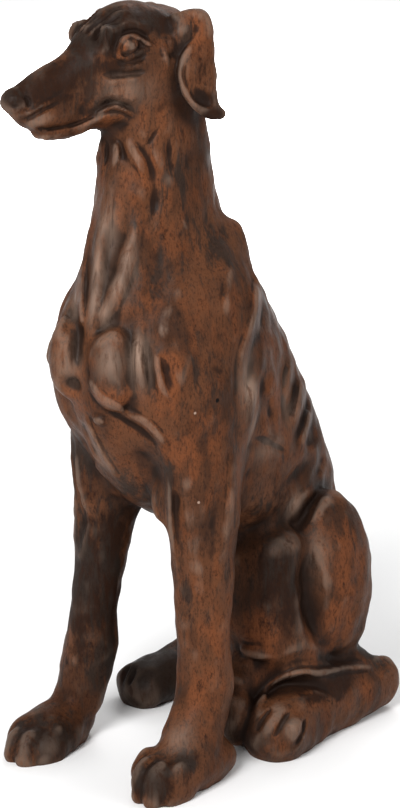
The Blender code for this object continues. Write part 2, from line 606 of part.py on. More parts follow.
def left_foot_carving():
    """The rim along the top of the foot, the hollows above and below it, and the gaps between the toes."""
    rim = ((0.116, 0.305, 0.056), (0.110, 0.270, 0.066), (0.112, 0.212, 0.077), (0.100, 0.186, 0.081),
           (0.080, 0.166, 0.067), (0.084, 0.128, 0.045))
    above = ((0.073, 0.160, 0.073), (0.089, 0.171, 0.090), (0.105, 0.190, 0.096), (0.105, 0.235, 0.082),
             (0.098, 0.282, 0.071))
    below = ((0.088, 0.135, 0.056), (0.092, 0.163, 0.063), (0.105, 0.194, 0.067), (0.118, 0.225, 0.050))
    skin_fold = ((0.107, 0.183, 0.065), (0.113, 0.202, 0.059), (0.121, 0.228, 0.042))
    gaps = (
        ((0.106, 0.144, 0.059), (0.104, 0.128, 0.048), (0.102, 0.110, 0.030)),
        ((0.120, 0.153, 0.056), (0.121, 0.137, 0.045), (0.122, 0.119, 0.030)),
        ((0.128, 0.168, 0.047), (0.132, 0.155, 0.034), (0.133, 0.143, 0.018)),
    )
    lumps = [
        ball((0.126, 0.148, 0.036), (0.009, 0.012, 0.012), blend=0.006),
        stroke(above, 0.013, 0.004, QUARTER[1], reach=0.020),
        stroke(below, 0.013, 0.0035, QUARTER[1], reach=0.020),
        ridge(rim, 0.006, 0.004, QUARTER[1], reach=0.020, fade=0.15),
        ridge(skin_fold, 0.004, 0.002, QUARTER[1], reach=0.020),
    ]
    return lumps + [stroke(gap, 0.005, 0.0035, QUARTER[1], reach=0.015, fade=0.3) for gap in gaps]


def right_foot_carving():
    lumps = []
    for across in (-0.088, -0.101, -0.114):
        gap = ((across, 0.160, 0.044), (across, 0.142, 0.037), (across, 0.130, 0.024))
        lumps.append(stroke(gap, 0.0045, 0.003, QUARTER[-1], reach=0.015))
    return lumps


def groin():
    """The rough mass that fills the hollow between the left shank and the belly, down to the ground."""
    return [
        ball((0.046, 0.182, 0.048), (0.034, 0.050, 0.060), blend=0.014),
        ball((0.040, 0.190, 0.160), (0.036, 0.045, 0.080), blend=0.014),
        ball((0.060, 0.163, 0.122), (0.016, 0.010, 0.008), (0, 0, 20), 0.006),
        ball((0.066, 0.160, 0.104), (0.018, 0.009, 0.007), (0, 0, 24), 0.006),
        ball((0.055, 0.155, 0.088), (0.010, 0.009, 0.009), blend=0.006),
        ball((0.054, 0.142, 0.068), (0.012, 0.010, 0.012), blend=0.008),
        ball((0.062, 0.134, 0.036), (0.020, 0.022, 0.030), blend=0.008),
    ]


def tail():
    """The tail, lying on the ground round the right flank."""
    stations = (
        (0.004, 0.345, 0.062, 0.024, 0.024),
        (-0.012, 0.376, 0.034, 0.020, 0.020),
        (-0.052, 0.386, 0.018, 0.015, 0.017),
        (-0.098, 0.372, 0.014, 0.013, 0.015),
        (-0.126, 0.334, 0.012, 0.011, 0.013),
        (-0.134, 0.290, 0.010, 0.008, 0.010),
    )
    return [limb(stations, side=UPRIGHT)]


def skull():
    """The long head: forehead, braincase, muzzle, its bridge and the lower jaw."""
    muzzle = ((0, -0.050, -0.012, 0.032, 0.036), (0, -0.086, -0.016, 0.023, 0.028),
              (0, -0.117, -0.017, 0.018, 0.025), (0, -0.141, -0.020, 0.012, 0.016))
    bridge = ((0, -0.050, 0.0115, 0.017, 0.020), (0, -0.097, 0.0010, 0.011, 0.012),
              (0, -0.149, -0.009, 0.008, 0.010))
    jaw = ((0, -0.030, -0.048, 0.028, 0.021), (0, -0.078, -0.047, 0.019, 0.012),
           (0, -0.112, -0.047, 0.014, 0.012), (0, -0.129, -0.045, 0.009, 0.009))
    return [
        ball((0, 0.008, -0.004), (0.042, 0.050, 0.040), blend=0.02, place=HEAD),
        ball((0, -0.020, 0.006), (0.036, 0.052, 0.043), (-4, 0, 0), 0.016, HEAD),
        limb(muzzle, blend=0.02, place=HEAD),
        limb(bridge, place=HEAD),
        limb(jaw, blend=0.014, place=HEAD),
    ]


def brow(side):
    """The knob over the socket's front corner, the rims of the socket and the furrows up the forehead."""
    front_rim = on_side(side, (0.026, -0.046, 0.038), (0.031, -0.055, 0.035), (0.035, -0.059, 0.029),
                              (0.037, -0.059, 0.022), (0.037, -0.056, 0.015))
    hollow = on_side(side, (0.020, -0.050, 0.039), (0.026, -0.059, 0.034), (0.029, -0.063, 0.026),
                           (0.030, -0.061, 0.016))
    top_rim = on_side(side, (0.036, -0.050, 0.034), (0.038, -0.040, 0.038), (0.039, -0.028, 0.036),
                            (0.040, -0.015, 0.028), (0.041, -0.006, 0.017))
    folds = (
        on_side(side, (0.003, -0.068, 0.031), (0.003, -0.058, 0.036), (0.005, -0.049, 0.041),
                (0.009, -0.038, 0.045)),
        on_side(side, (0.012, -0.067, 0.024), (0.012, -0.057, 0.033), (0.013, -0.043, 0.039),
                (0.016, -0.032, 0.043), (0.022, -0.018, 0.043)),
        on_side(side, (0.024, -0.060, 0.029), (0.021, -0.053, 0.035), (0.021, -0.040, 0.039),
                (0.026, -0.028, 0.040)),
    )
    furrows = (
        on_side(side, (0.008, -0.067, 0.027), (0.007, -0.057, 0.035), (0.009, -0.045, 0.042),
                (0.014, -0.032, 0.046)),
        on_side(side, (0.018, -0.066, 0.024), (0.017, -0.055, 0.034), (0.018, -0.042, 0.040),
                (0.022, -0.029, 0.043)),
    )
    lumps = [
        ball((side * 0.026, -0.052, 0.022), (0.011, 0.012, 0.014), blend=0.012, place=HEAD),
        stroke(hollow, 0.010, 0.0030, FACE_QUARTER[side], place=HEAD, fade=0.4),
        ridge(front_rim, 0.0040, 0.0024, FACE_QUARTER[side], place=HEAD, fade=0.3),
        ridge(top_rim, 0.007, 0.0022, FACE_QUARTER[side], place=HEAD, fade=0.3),
        dent((side * 0.041, -0.004, 0.020), (0.016, 0.018, 0.016), 0.003, place=HEAD),
    ]
    lumps += [stroke(furrow, 0.006, 0.0024, UPRIGHT, place=HEAD, fade=0.3) for furrow in furrows]
    return lumps + [ridge(fold, 0.0036, 0.0018, UPRIGHT, place=HEAD, fade=0.3) for fold in folds]


def eye(side):
    """The eyeball in its socket and its inner corner, between two lids, with the rim of the iris
    pressed into it."""
    upper_lid = on_side(side, (0.033, -0.050, 0.011), (0.035, -0.045, 0.020), (0.036, -0.039, 0.0245),
                              (0.037, -0.031, 0.025), (0.038, -0.024, 0.020), (0.039, -0.018, 0.013),
                              (0.040, -0.012, 0.008))
    lid_crease = on_side(side, (0.036, -0.045, 0.028), (0.038, -0.037, 0.031), (0.039, -0.028, 0.030),
                               (0.040, -0.020, 0.023), (0.041, -0.014, 0.015))
    lower_lid = on_side(side, (0.033, -0.051, 0.010), (0.0355, -0.045, 0.006), (0.037, -0.037, 0.005),
                              (0.038, -0.029, 0.006), (0.039, -0.022, 0.010))
    bag = on_side(side, (0.034, -0.054, 0.005), (0.037, -0.045, -0.001), (0.039, -0.033, -0.001),
                        (0.040, -0.020, 0.003))
    iris = on_side(side, (0.039, -0.0380, 0.0185), (0.039, -0.0340, 0.0200), (0.039, -0.0305, 0.0170),
                         (0.039, -0.0315, 0.0125))
    return [
        scoop((side * 0.045, -0.038, 0.016), (0.013, 0.021, 0.014), blend=0.007, place=HEAD),
        ball((side * 0.0280, -0.0350, 0.0145), (0.0110, 0.0125, 0.0105), blend=0.002, place=HEAD),
        ball((side * 0.0300, -0.0470, 0.0110), (0.0060, 0.0060, 0.0045), blend=0.003, place=HEAD),
        ridge(upper_lid, 0.0034, 0.0032, FACE_QUARTER[side], place=HEAD, fade=0.12),
        stroke(lid_crease, 0.0034, 0.0020, FACE_QUARTER[side], place=HEAD, fade=0.25),
        ridge(lower_lid, 0.0032, 0.0026, FACE_QUARTER[side], place=HEAD, fade=0.12),
        stroke(bag, 0.0050, 0.0020, FACE_QUARTER[side], place=HEAD, fade=0.25),
        stroke(iris, 0.0018, 0.0010, FACE_QUARTER[side], reach=0.006, place=HEAD, fade=0.2),
    ]


def cheek(side):
    """The cheekbone, the long furrow under it with a thin ridge below, and the round cheek."""
    cheekbone = on_side(side, (0.035, -0.053, -0.001), (0.038, -0.041, -0.003), (0.041, -0.025, -0.004))
    furrow = on_side(side, (0.029, -0.073, -0.002), (0.033, -0.062, -0.005), (0.037, -0.048, -0.008),
                           (0.040, -0.032, -0.011), (0.041, -0.020, -0.012))
    thin_ridge = on_side(side, (0.031, -0.070, -0.011), (0.034, -0.060, -0.013), (0.038, -0.046, -0.015),
                               (0.041, -0.028, -0.017))
    muzzle_creases = (
        on_side(side, (0.018, -0.122, -0.014), (0.021, -0.112, -0.010), (0.024, -0.100, -0.008)),
        on_side(side, (0.020, -0.112, -0.016), (0.024, -0.098, -0.014), (0.028, -0.084, -0.014)),
        on_side(side, (0.022, -0.104, -0.028), (0.026, -0.090, -0.026), (0.029, -0.076, -0.026)),
    )
    lumps = [
        ball((side * 0.028, -0.022, -0.024), (0.016, 0.040, 0.022), place=HEAD),
        ridge(cheekbone, 0.006, 0.0018, FACE_QUARTER[side], place=HEAD, fade=0.3),
        stroke(furrow, 0.0065, 0.0036, FACE_QUARTER[side], place=HEAD, fade=0.3),
        ridge(thin_ridge, 0.0045, 0.0020, FACE_QUARTER[side], place=HEAD, fade=0.3),
    ]
    for crease in muzzle_creases:
        lumps.append(stroke(crease, 0.005, 0.0010, FACE_QUARTER[side], place=HEAD))
    return lumps


def mouth(side):
    """The lips, drawn back to a dark corner, the edge of the lower jaw and the bumps along its lip."""
    slit = on_side(side, (0.014, -0.143, -0.034), (0.017, -0.134, -0.038), (0.018, -0.122, -0.041),
                         (0.018, -0.110, -0.043), (0.021, -0.096, -0.043), (0.024, -0.084, -0.040),
                         (0.026, -0.075, -0.038))
    corner = on_side(side, (0.027, -0.078, -0.033), (0.030, -0.067, -0.030), (0.033, -0.057, -0.032),
                           (0.034, -0.048, -0.039), (0.034, -0.042, -0.047))
    upper_lip = on_side(side, (0.023, -0.085, -0.041), (0.027, -0.072, -0.038), (0.030, -0.063, -0.037),
                              (0.032, -0.055, -0.041), (0.033, -0.047, -0.048), (0.033, -0.042, -0.053))
    lower_lip = on_side(side, (0.016, -0.110, -0.0485), (0.019, -0.095, -0.0475), (0.021, -0.082, -0.046),
                              (0.024, -0.068, -0.045), (0.028, -0.056, -0.048), (0.030, -0.046, -0.054))
    jaw_edge = on_side(side, (0.018, -0.096, -0.055), (0.022, -0.083, -0.053), (0.026, -0.069, -0.052),
                             (0.029, -0.054, -0.056), (0.031, -0.045, -0.061))
    lumps = [
        ball((side * 0.011, -0.116, -0.030), (0.011, 0.028, 0.013), blend=0.008, place=HEAD),
        stroke(slit, 0.0032, 0.0026, FACE_QUARTER[side], reach=0.012, place=HEAD, fade=0.15),
        stroke(corner, 0.0055, 0.0034, FACE_QUARTER[side], place=HEAD, fade=0.3),
        ridge(upper_lip, 0.0036, 0.0028, FACE_QUARTER[side], place=HEAD, fade=0.2),
        ridge(lower_lip, 0.0040, 0.0016, FACE_QUARTER[side], place=HEAD, fade=0.2),
        stroke(jaw_edge, 0.0050, 0.0020, FACE_QUARTER[side], place=HEAD, fade=0.3),
    ]
    for back, size in ((-0.129, 0.0040), (-0.119, 0.0045), (-0.109, 0.0040)):
        lumps.append(ball((side * 0.010, back, -0.048), (size, size, 0.004), blend=0.005, place=HEAD))
    return lumps


def nose():
    """The nose pad with a wing and a nostril on each side, and the crease under it."""
    lumps = [ball((0, -0.151, -0.009), (0.0115, 0.0115, 0.0095), blend=0.004, place=HEAD)]
    for side in (1, -1):
        wing = on_side(side, (0.007, -0.158, -0.004), (0.010, -0.152, -0.003), (0.0125, -0.147, -0.006),
                             (0.013, -0.1445, -0.011), (0.012, -0.146, -0.017))
        groove = on_side(side, (0.011, -0.142, -0.003), (0.0135, -0.1395, -0.010), (0.0135, -0.142, -0.017))
        nostril = on_side(side, (0.011, -0.149, -0.010), (0.0105, -0.1525, -0.012), (0.008, -0.157, -0.010))
        lip_crease = on_side(side, (0.008, -0.155, -0.024), (0.013, -0.143, -0.026),
                                   (0.016, -0.135, -0.024), (0.018, -0.122, -0.021),
                                   (0.020, -0.108, -0.018))
        lip_fold = on_side(side, (0.007, -0.154, -0.021), (0.013, -0.143, -0.022),
                                 (0.016, -0.135, -0.020), (0.018, -0.122, -0.017),
                                 (0.020, -0.108, -0.014))
        lumps += [
            ball((side * 0.0065, -0.148, -0.011), (0.006, 0.008, 0.008), blend=0.003, place=HEAD),
            stroke(groove, 0.0034, 0.0024, FACE_QUARTER[side], place=HEAD, fade=0.3),
            ridge(wing, 0.0026, 0.0012, FACE_QUARTER[side], place=HEAD, fade=0.2),
            stroke(nostril, 0.0032, 0.0034, FACE_QUARTER[side], place=HEAD, fade=0.3),
            stroke(lip_crease, 0.0040, 0.0018, FACE_QUARTER[side], place=HEAD, fade=0.3),
            ridge(lip_fold, 0.0026, 0.0012, FACE_QUARTER[side], place=HEAD, fade=0.3),
        ]
    return lumps


def ear(side):
    """A folded ear: its broad root, the flap hanging from it and the tip curled out, with the recess
    and the folds of skin before it."""
    flap = (
        (side * 0.034, 0.021, 0.023, 0.008, 0.010),
        (side * 0.041, 0.039, 0.020, 0.009, 0.010),
        (side * 0.046, 0.041, 0.010, 0.008, 0.010),
        (side * 0.049, 0.036, -0.002, 0.006, 0.014),
        (side * 0.051, 0.027, -0.016, 0.006, 0.019),
        (side * 0.052, 0.022, -0.032, 0.006, 0.0205),
        (side * 0.053, 0.022, -0.046, 0.006, 0.0175),
        (side * 0.055, 0.025, -0.057, 0.006, 0.014),
        (side * 0.056, 0.030, -0.065, 0.006, 0.009),
        (side * 0.056, 0.036, -0.070, 0.005, 0.005),
    )
    front_edge = on_side(side, (0.048, 0.027, 0.003), (0.050, 0.017, -0.004), (0.052, 0.008, -0.011),
                               (0.053, 0.003, -0.021), (0.054, 0.002, -0.031), (0.055, 0.004, -0.042),
                               (0.056, 0.009, -0.052), (0.057, 0.017, -0.060), (0.057, 0.029, -0.068))
    hollow = on_side(side, (0.056, 0.013, -0.031), (0.056, 0.017, -0.046), (0.056, 0.025, -0.057),
                           (0.056, 0.031, -0.064))
    crease = on_side(side, (0.052, 0.034, 0.003), (0.055, 0.026, -0.006), (0.056, 0.019, -0.020))
    recess = on_side(side, (0.042, 0.017, 0.021), (0.044, 0.014, 0.010), (0.045, 0.007, 0.000),
                           (0.045, 0.000, -0.014))
    skin_folds = (
        on_side(side, (0.040, -0.001, 0.016), (0.042, -0.002, 0.002), (0.043, -0.003, -0.009),
                (0.043, -0.005, -0.022)),
        on_side(side, (0.041, 0.007, 0.016), (0.042, 0.005, 0.005), (0.043, 0.001, -0.006)),
    )
    lumps = [
        stroke(recess, 0.010, 0.0020, FACE_QUARTER[side], place=HEAD),
        ball((side * 0.040, 0.024, 0.004), (0.010, 0.014, 0.024), blend=0.008, place=HEAD),
        limb(flap, blend=0.004, place=HEAD),
        ridge(front_edge, 0.0048, 0.0026, FACE_QUARTER[side], reach=0.012, place=HEAD, fade=0.1),
        stroke(hollow, 0.010, 0.0034, FACE_QUARTER[side], reach=0.012, place=HEAD),
        stroke(crease, 0.006, 0.0015, FACE_QUARTER[side], reach=0.012, place=HEAD),
    ]
    return lumps + [ridge(fold, 0.0042, 0.0020, FACE_QUARTER[side], place=HEAD) for fold in skin_folds]


def dog_clay():
    lumps = trunk() + neck()
    for side in (1, -1):
        lumps += nape(side) + breast(side) + shoulder(side) + ribs(side)
    lumps += keel() + left_foreleg() + right_foreleg()
    lumps += hind_leg(1) + hind_leg(-1) + groin() + hind_foot(1) + hind_foot(-1) + tail()
    lumps += skull()
    for side in (1, -1):
        lumps += brow(side) + cheek(side) + mouth(side) + eye(side)
    lumps += nose()
    for side in (1, -1):
        lumps += ear(side)
    return lumps


# ---------------------------------------------------------------- the cast


def clear_scene():
    for obj in list(bpy.data.objects):
        bpy.data.objects.remove(obj)


def patina():
    material = bpy.data.materials.new("brown_patina")
    material.use_nodes = True
    shader = material.node_tree.nodes["Principled BSDF"]
    shader.inputs["Base Color"].default_value = BROWN_PATINA
    shader.inputs["Roughness"].default_value = PATINA_ROUGHNESS
    shader.inputs["Metallic"].default_value = PATINA_METALLIC
    return material


def linked(name, mesh):
    obj = bpy.data.objects.new(name, mesh)
    bpy.context.scene.collection.objects.link(obj)
    return obj


def islands(shape):
    """The groups of vertices that edges join."""
    waiting = set(shape.verts)
    groups = []
    while waiting:
        edge_of_group = [waiting.pop()]
        group = []
        while edge_of_group:
            vertex = edge_of_group.pop()
            group.append(vertex)
            found = {edge.other_vert(vertex) for edge in vertex.link_edges} & waiting
            waiting -= found
            edge_of_group.extend(found)
        groups.append(group)
    return groups


def without_bubbles(obj):
    """Keeps only the outer skin, without the small sealed hollows left inside, as behind an ear."""
    shape = bmesh.new()
    shape.from_mesh(obj.data)
    groups = sorted(islands(shape), key=len)
    for bubble in groups[:-1]:
        bmesh.ops.delete(shape, geom=bubble, context="VERTS")
    shape.to_mesh(obj.data)
    shape.free()


def thinned(obj):
    """Joins small facets until about FACETS triangles are left."""
    triangles = 2 * len(obj.data.polygons)
    thin = obj.modifiers.new("thin", "DECIMATE")
    thin.ratio = FACETS / triangles
    graph = bpy.context.evaluated_depsgraph_get()
    mesh = bpy.data.meshes.new_from_object(obj.evaluated_get(graph))
    obj.modifiers.remove(thin)
    obj.data = mesh


def stood_on_ground(obj):
    """Cuts the mesh off flat at z = 0 and centres it over the origin."""
    shape = bmesh.new()
    shape.from_mesh(obj.data)
    everything = shape.verts[:] + shape.edges[:] + shape.faces[:]
    cut = bmesh.ops.bisect_plane(
        shape, geom=everything, plane_co=(0, 0, 0), plane_no=(0, 0, 1), clear_inner=True
    )
    rim = [item for item in cut["geom_cut"] if isinstance(item, bmesh.types.BMEdge)]
    bmesh.ops.edgeloop_fill(shape, edges=rim)
    bmesh.ops.triangulate(shape, faces=shape.faces[:])
    spots = np.array([vertex.co for vertex in shape.verts])
    middle = (spots.min(axis=0) + spots.max(axis=0)) / 2
    bmesh.ops.translate(shape, verts=shape.verts[:], vec=(-middle[0], -middle[1], 0.0))
    shape.to_mesh(obj.data)
    shape.free()


def cast_dog():
    points, quads = skin(dog_clay(), BLOCK_LOW, BLOCK_HIGH, CELL)
    mesh = bpy.data.meshes.new("dog")
    mesh.from_pydata(points.tolist(), [], quads.tolist())
    dog = linked("dog", mesh)
    without_bubbles(dog)
    thinned(dog)
    stood_on_ground(dog)
    dog.data.shade_smooth()
    dog.data.materials.append(patina())
    return dog


clear_scene()
cast_dog()
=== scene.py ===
"""The looks of a sitting greyhound, cast in one piece and finished in a brown patina, worn back to pale in
places.

The cast is sculpted again at full detail, like clay: lumps, limbs, hollows and grooves each change a
distance field, and the surface of the field becomes the mesh. The mesh is made finer where the form
bends, and each vertex keeps how hollow the form is there and how closely the rest of it closes in.
These tell the patina where it wears pale on the ridges, a pale that is partly painted highlight, and
where it lies dark in the hollows and between parts, which is partly painted shade.
x is the dog's left, y its back and z up, in metres.
"""

import copy
import math

import bmesh
import bpy
import numpy as np
import openvdb
from mathutils import Euler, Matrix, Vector


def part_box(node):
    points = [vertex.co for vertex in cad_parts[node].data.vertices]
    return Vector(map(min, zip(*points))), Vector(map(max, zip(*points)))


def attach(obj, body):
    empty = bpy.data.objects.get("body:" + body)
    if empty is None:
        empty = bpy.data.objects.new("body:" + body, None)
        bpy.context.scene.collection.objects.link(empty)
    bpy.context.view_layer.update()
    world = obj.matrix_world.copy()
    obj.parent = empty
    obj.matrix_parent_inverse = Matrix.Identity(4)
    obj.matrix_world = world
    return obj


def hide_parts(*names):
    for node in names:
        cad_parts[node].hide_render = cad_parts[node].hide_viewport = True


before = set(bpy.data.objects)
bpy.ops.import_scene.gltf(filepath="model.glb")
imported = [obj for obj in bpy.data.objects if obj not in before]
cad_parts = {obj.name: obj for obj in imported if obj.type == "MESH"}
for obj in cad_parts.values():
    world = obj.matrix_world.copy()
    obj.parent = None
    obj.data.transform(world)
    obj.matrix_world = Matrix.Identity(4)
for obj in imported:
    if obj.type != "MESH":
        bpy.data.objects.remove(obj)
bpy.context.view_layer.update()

# Driving dimensions of the form, as in the CAD.
CHEST_HALF_WIDTH = 0.088
CHEST_HEIGHT = 0.402
NECK_HALF_WIDTH = 0.045
RUMP_BACK = 0.357
PAW_X = 0.081
PAW_Y = 0.019
RIGHT_PAW_X = -0.087
RIGHT_PAW_Y = 0.004
# How far back the right foreleg is carved, and how far the right hind leg is drawn in and back.
RIGHT_FORELEG_BACK = 0.011
RIGHT_HAUNCH = (0.030, 0.018)
HEAD_PLACE = (0.0, 0.065, 0.734)
HEAD_TURN = (12.5, 0.0, -16.0)
# The toes of a front paw: how far each is across and ahead of the paw's middle, and its half width.
TOES = ((-0.022, 0.016, 0.013), (-0.008, 0.032, 0.014), (0.009, 0.031, 0.014), (0.021, 0.015, 0.012))

# The block of clay, how finely its surface is first read, and how close the finished mesh keeps to it.
BLOCK_LOW = (-0.190, -0.160, -0.012)
BLOCK_HIGH = (0.190, 0.430, 0.800)
CELL = 0.005
CELLS_PER_BLOCK = 4
TOLERANCES = (0.00022, 0.00018)
# How far points step to read which way the field grows, and the gentlest growth they rely on.
SLOPE_STEP = 0.0004
GENTLEST_SLOPE = 0.5
# The longest way a point moves at once, and how far it relaxes towards its neighbours.
LONGEST_MOVE = 0.003
RELAXED_SHARE = 0.5
# How far round each vertex the form is read for hollows, and out from it for what closes it in.
HOLLOW_REACHES = {"hollow_near": 0.0035, "hollow_wide": 0.011}
SHELTER_STEPS = (0.012, 0.024, 0.045)

# The unevenness of the modelled surface: wave lengths with their heights, in metres.
WAVES = ((0.055, 0.0006), (0.026, 0.0004), (0.014, 0.00016))
WAVES_EACH = 12
WAVE_SEED = 7

# How far a lump's field is worked out beyond the lump, and the field's value where none is.
REACH = 0.018
FAR = 0.050
SAMPLES_PER_SPAN = 8
# How far up and down a column's lean is read.
PROBE = 0.004
# A block is sampled finely when the surface is this many block sizes from its middle, or nearer.
NEAR_BLOCKS = 1.3
# A stroke's width at its ends, and how much of its reach it holds at full depth.
NARROWEST = 0.6
FULL_REACH = 1 / 3
TINY = 1e-6
# A normal whose z is beyond this is too near upright to be crossed with it.
STEEP = 0.8

SIDEWAYS = (1, 0, 0)
UPRIGHT = (0, 0, 1)
# Out of the front quarter of the body and of the face: the way that most strokes are pressed in.
QUARTER = (0.65, -0.72, 0.26)
FACE_QUARTER = (0.82, -0.44, 0.36)

# The photograph's viewpoint.
VIEW_AZIMUTH = 42.0
VIEW_ELEVATION = 15.0
VIEW_DISTANCE = 2.2
VIEW_TARGET = (0.067, 0.070, 0.390)
LENS_MM = 99.5
SENSOR_MM = 36.0

# The colours of the patina.
BLACK_BROWN = (0.012, 0.006, 0.004, 1.0)
DEEP_BROWN = (0.017, 0.0065, 0.0032, 1.0)
UMBER = (0.043, 0.0172, 0.0085, 1.0)
RUST_BROWN = (0.092, 0.0345, 0.0150, 1.0)
RUST_ORANGE = (0.138, 0.0440, 0.0160, 1.0)
# Grey for the smudges in the patina, and for painted shade under the chest, belly and legs.
SOOT_AND_SHADE_GREY = (0.021, 0.0145, 0.0112, 1.0)
# Pale tan for the worn ridges and patches, where it is also painted highlight, and for two flecks.
PALE_TAN = (0.270, 0.182, 0.136, 1.0)
PIT_BLACK = (0.002, 0.0015, 0.001, 1.0)

# Patches of the patina and of painted shade and highlight: the middle of each, its reach across and up, and
# its strength.
# Grey smudges, and painted shade where the form lies under or between parts.
SOOT_AND_SHADE_PATCHES = (
    # Forehead, muzzle, nose, ear root and side of the head.
    (-0.005, 0.003, 0.753, 0.040, 0.030, 0.9),
    (0.022, 0.036, 0.764, 0.030, 0.020, 0.7),
    (-0.032, -0.081, 0.697, 0.014, 0.014, 0.7),
    (0.044, 0.068, 0.754, 0.014, 0.026, 0.8),
    (-0.002, -0.014, 0.682, 0.020, 0.010, 0.7),
    (0.032, 0.027, 0.735, 0.010, 0.008, 0.8),
    # Neck, withers and shoulder.
    (0.063, 0.102, 0.541, 0.024, 0.030, 1.0),
    (0.054, 0.084, 0.565, 0.020, 0.024, 0.7),
    (0.045, 0.058, 0.616, 0.018, 0.036, 0.6),
    (0.049, 0.026, 0.519, 0.018, 0.020, 0.6),
    (0.098, 0.042, 0.415, 0.020, 0.036, 0.5),
    # Painted shade under the chest and in the armpit, and darker down the forelegs.
    (-0.064, 0.033, 0.320, 0.024, 0.036, 0.9),
    (0.010, 0.029, 0.299, 0.040, 0.020, 0.7),
    (0.068, 0.022, 0.323, 0.008, 0.040, 0.8),
    (0.079, 0.036, 0.208, 0.012, 0.030, 0.6),
    (-0.066, 0.040, 0.190, 0.045, 0.090, 0.6),
    (-0.055, 0.056, 0.087, 0.024, 0.040, 0.9),
    # Painted shade under the belly, on the shank, above the hind foot and in the hollow over the hock, and
    # darker feet.
    (0.071, 0.174, 0.262, 0.040, 0.024, 0.4),
    (0.087, 0.172, 0.206, 0.036, 0.060, 0.5),
    (0.112, 0.226, 0.078, 0.036, 0.012, 0.9),
    (0.109, 0.310, 0.067, 0.022, 0.016, 0.9),
    (0.118, 0.129, 0.028, 0.026, 0.026, 0.6),
    (0.091, -0.030, 0.035, 0.026, 0.034, 0.8),
    (0.105, 0.005, 0.041, 0.014, 0.014, 1.0),
    (-0.070, -0.030, 0.022, 0.040, 0.030, 0.8),
    (-0.090, 0.170, 0.030, 0.060, 0.050, 1.0),
)
# Deep brown, partly the patina's own darker colour and partly painted shade.
DEEP_PATCHES = (
    # Deep brown on the muzzle and forehead, and painted shade under the eye, before the ear and in the
    # ear's hollow.
    (-0.021, -0.056, 0.705, 0.032, 0.020, 1.0),
    (-0.013, -0.037, 0.713, 0.030, 0.022, 1.0),
    (-0.003, -0.020, 0.723, 0.022, 0.018, 0.9),
    (0.006, -0.010, 0.703, 0.020, 0.014, 0.7),
    (-0.011, -0.039, 0.695, 0.024, 0.012, 0.8),
    (0.009, -0.008, 0.749, 0.018, 0.020, 0.8),
    (-0.005, -0.011, 0.741, 0.018, 0.012, 1.3),
    (-0.037, 0.008, 0.751, 0.016, 0.016, 0.9),
    (0.028, 0.052, 0.766, 0.022, 0.014, 1.2),
    (0.015, -0.001, 0.750, 0.012, 0.016, 1.3),
    (0.030, 0.036, 0.757, 0.012, 0.010, 1.2),
    (-0.031, -0.079, 0.698, 0.016, 0.011, 1.5),
    (0.001, 0.017, 0.764, 0.026, 0.020, 1.0),
    (0.019, 0.032, 0.766, 0.026, 0.018, 0.9),
    (0.019, 0.005, 0.722, 0.022, 0.008, 0.8),
    (0.040, 0.069, 0.744, 0.014, 0.020, 0.8),
    (0.063, 0.082, 0.688, 0.016, 0.014, 1.0),
    (0.069, 0.086, 0.672, 0.014, 0.011, 1.5),
    (0.062, 0.075, 0.717, 0.016, 0.020, 0.4),
    # Painted shade under the belly, on the shank, in the groin and on the hind foot.
    (0.071, 0.174, 0.262, 0.040, 0.024, 0.5),
    (0.092, 0.170, 0.190, 0.030, 0.050, 1.0),
    (0.098, 0.176, 0.145, 0.016, 0.034, 0.9),
    (0.118, 0.225, 0.060, 0.044, 0.016, 1.0),
    (-0.090, 0.170, 0.030, 0.060, 0.050, 1.0),
    # The right foreleg and both front paws.
    (-0.066, 0.040, 0.170, 0.045, 0.100, 0.8),
    (-0.071, -0.020, 0.024, 0.034, 0.024, 0.9),
    (-0.050, 0.062, 0.190, 0.014, 0.120, 1.2),
    (0.093, -0.030, 0.029, 0.030, 0.022, 1.0),
    (0.105, 0.015, 0.041, 0.020, 0.016, 0.8),
)
RUST_PATCHES = (
    # Lower lip, eye, ear root, cheek and neck.
    (0.001, 0.001, 0.672, 0.022, 0.010, 0.9),
    (0.024, 0.014, 0.742, 0.016, 0.013, 1.5),
    (0.060, 0.074, 0.756, 0.014, 0.024, 0.9),
    (0.041, 0.063, 0.678, 0.022, 0.020, 0.6),
    (0.032, 0.037, 0.622, 0.022, 0.030, 0.6),
    (0.031, 0.025, 0.585, 0.018, 0.030, 0.6),
    (0.010, 0.012, 0.550, 0.010, 0.036, 0.8),
    # Chest, shoulder and upper arm.
    (0.080, 0.012, 0.428, 0.016, 0.036, 1.0),
    (0.044, 0.010, 0.511, 0.022, 0.024, 0.6),
    (0.044, -0.020, 0.408, 0.026, 0.014, 0.8),
    (-0.015, -0.022, 0.403, 0.022, 0.020, 0.7),
    (0.089, 0.089, 0.495, 0.026, 0.040, 0.3),
    (0.091, 0.029, 0.366, 0.026, 0.036, 0.8),
    (0.098, 0.094, 0.323, 0.022, 0.036, 0.6),
    (0.078, 0.165, 0.375, 0.034, 0.044, 0.9),
    # Foreleg, thigh, groin and hind foot.
    (0.105, 0.058, 0.155, 0.022, 0.050, 0.7),
    (0.092, 0.035, 0.095, 0.022, 0.024, 0.6),
    (0.107, 0.239, 0.127, 0.030, 0.036, 0.7),
    (0.112, 0.257, 0.190, 0.030, 0.046, 0.9),
    (0.076, 0.157, 0.128, 0.026, 0.026, 1.2),
    (0.117, 0.203, 0.055, 0.030, 0.014, 0.8),
    (0.122, 0.265, 0.044, 0.024, 0.014, 0.7),
)
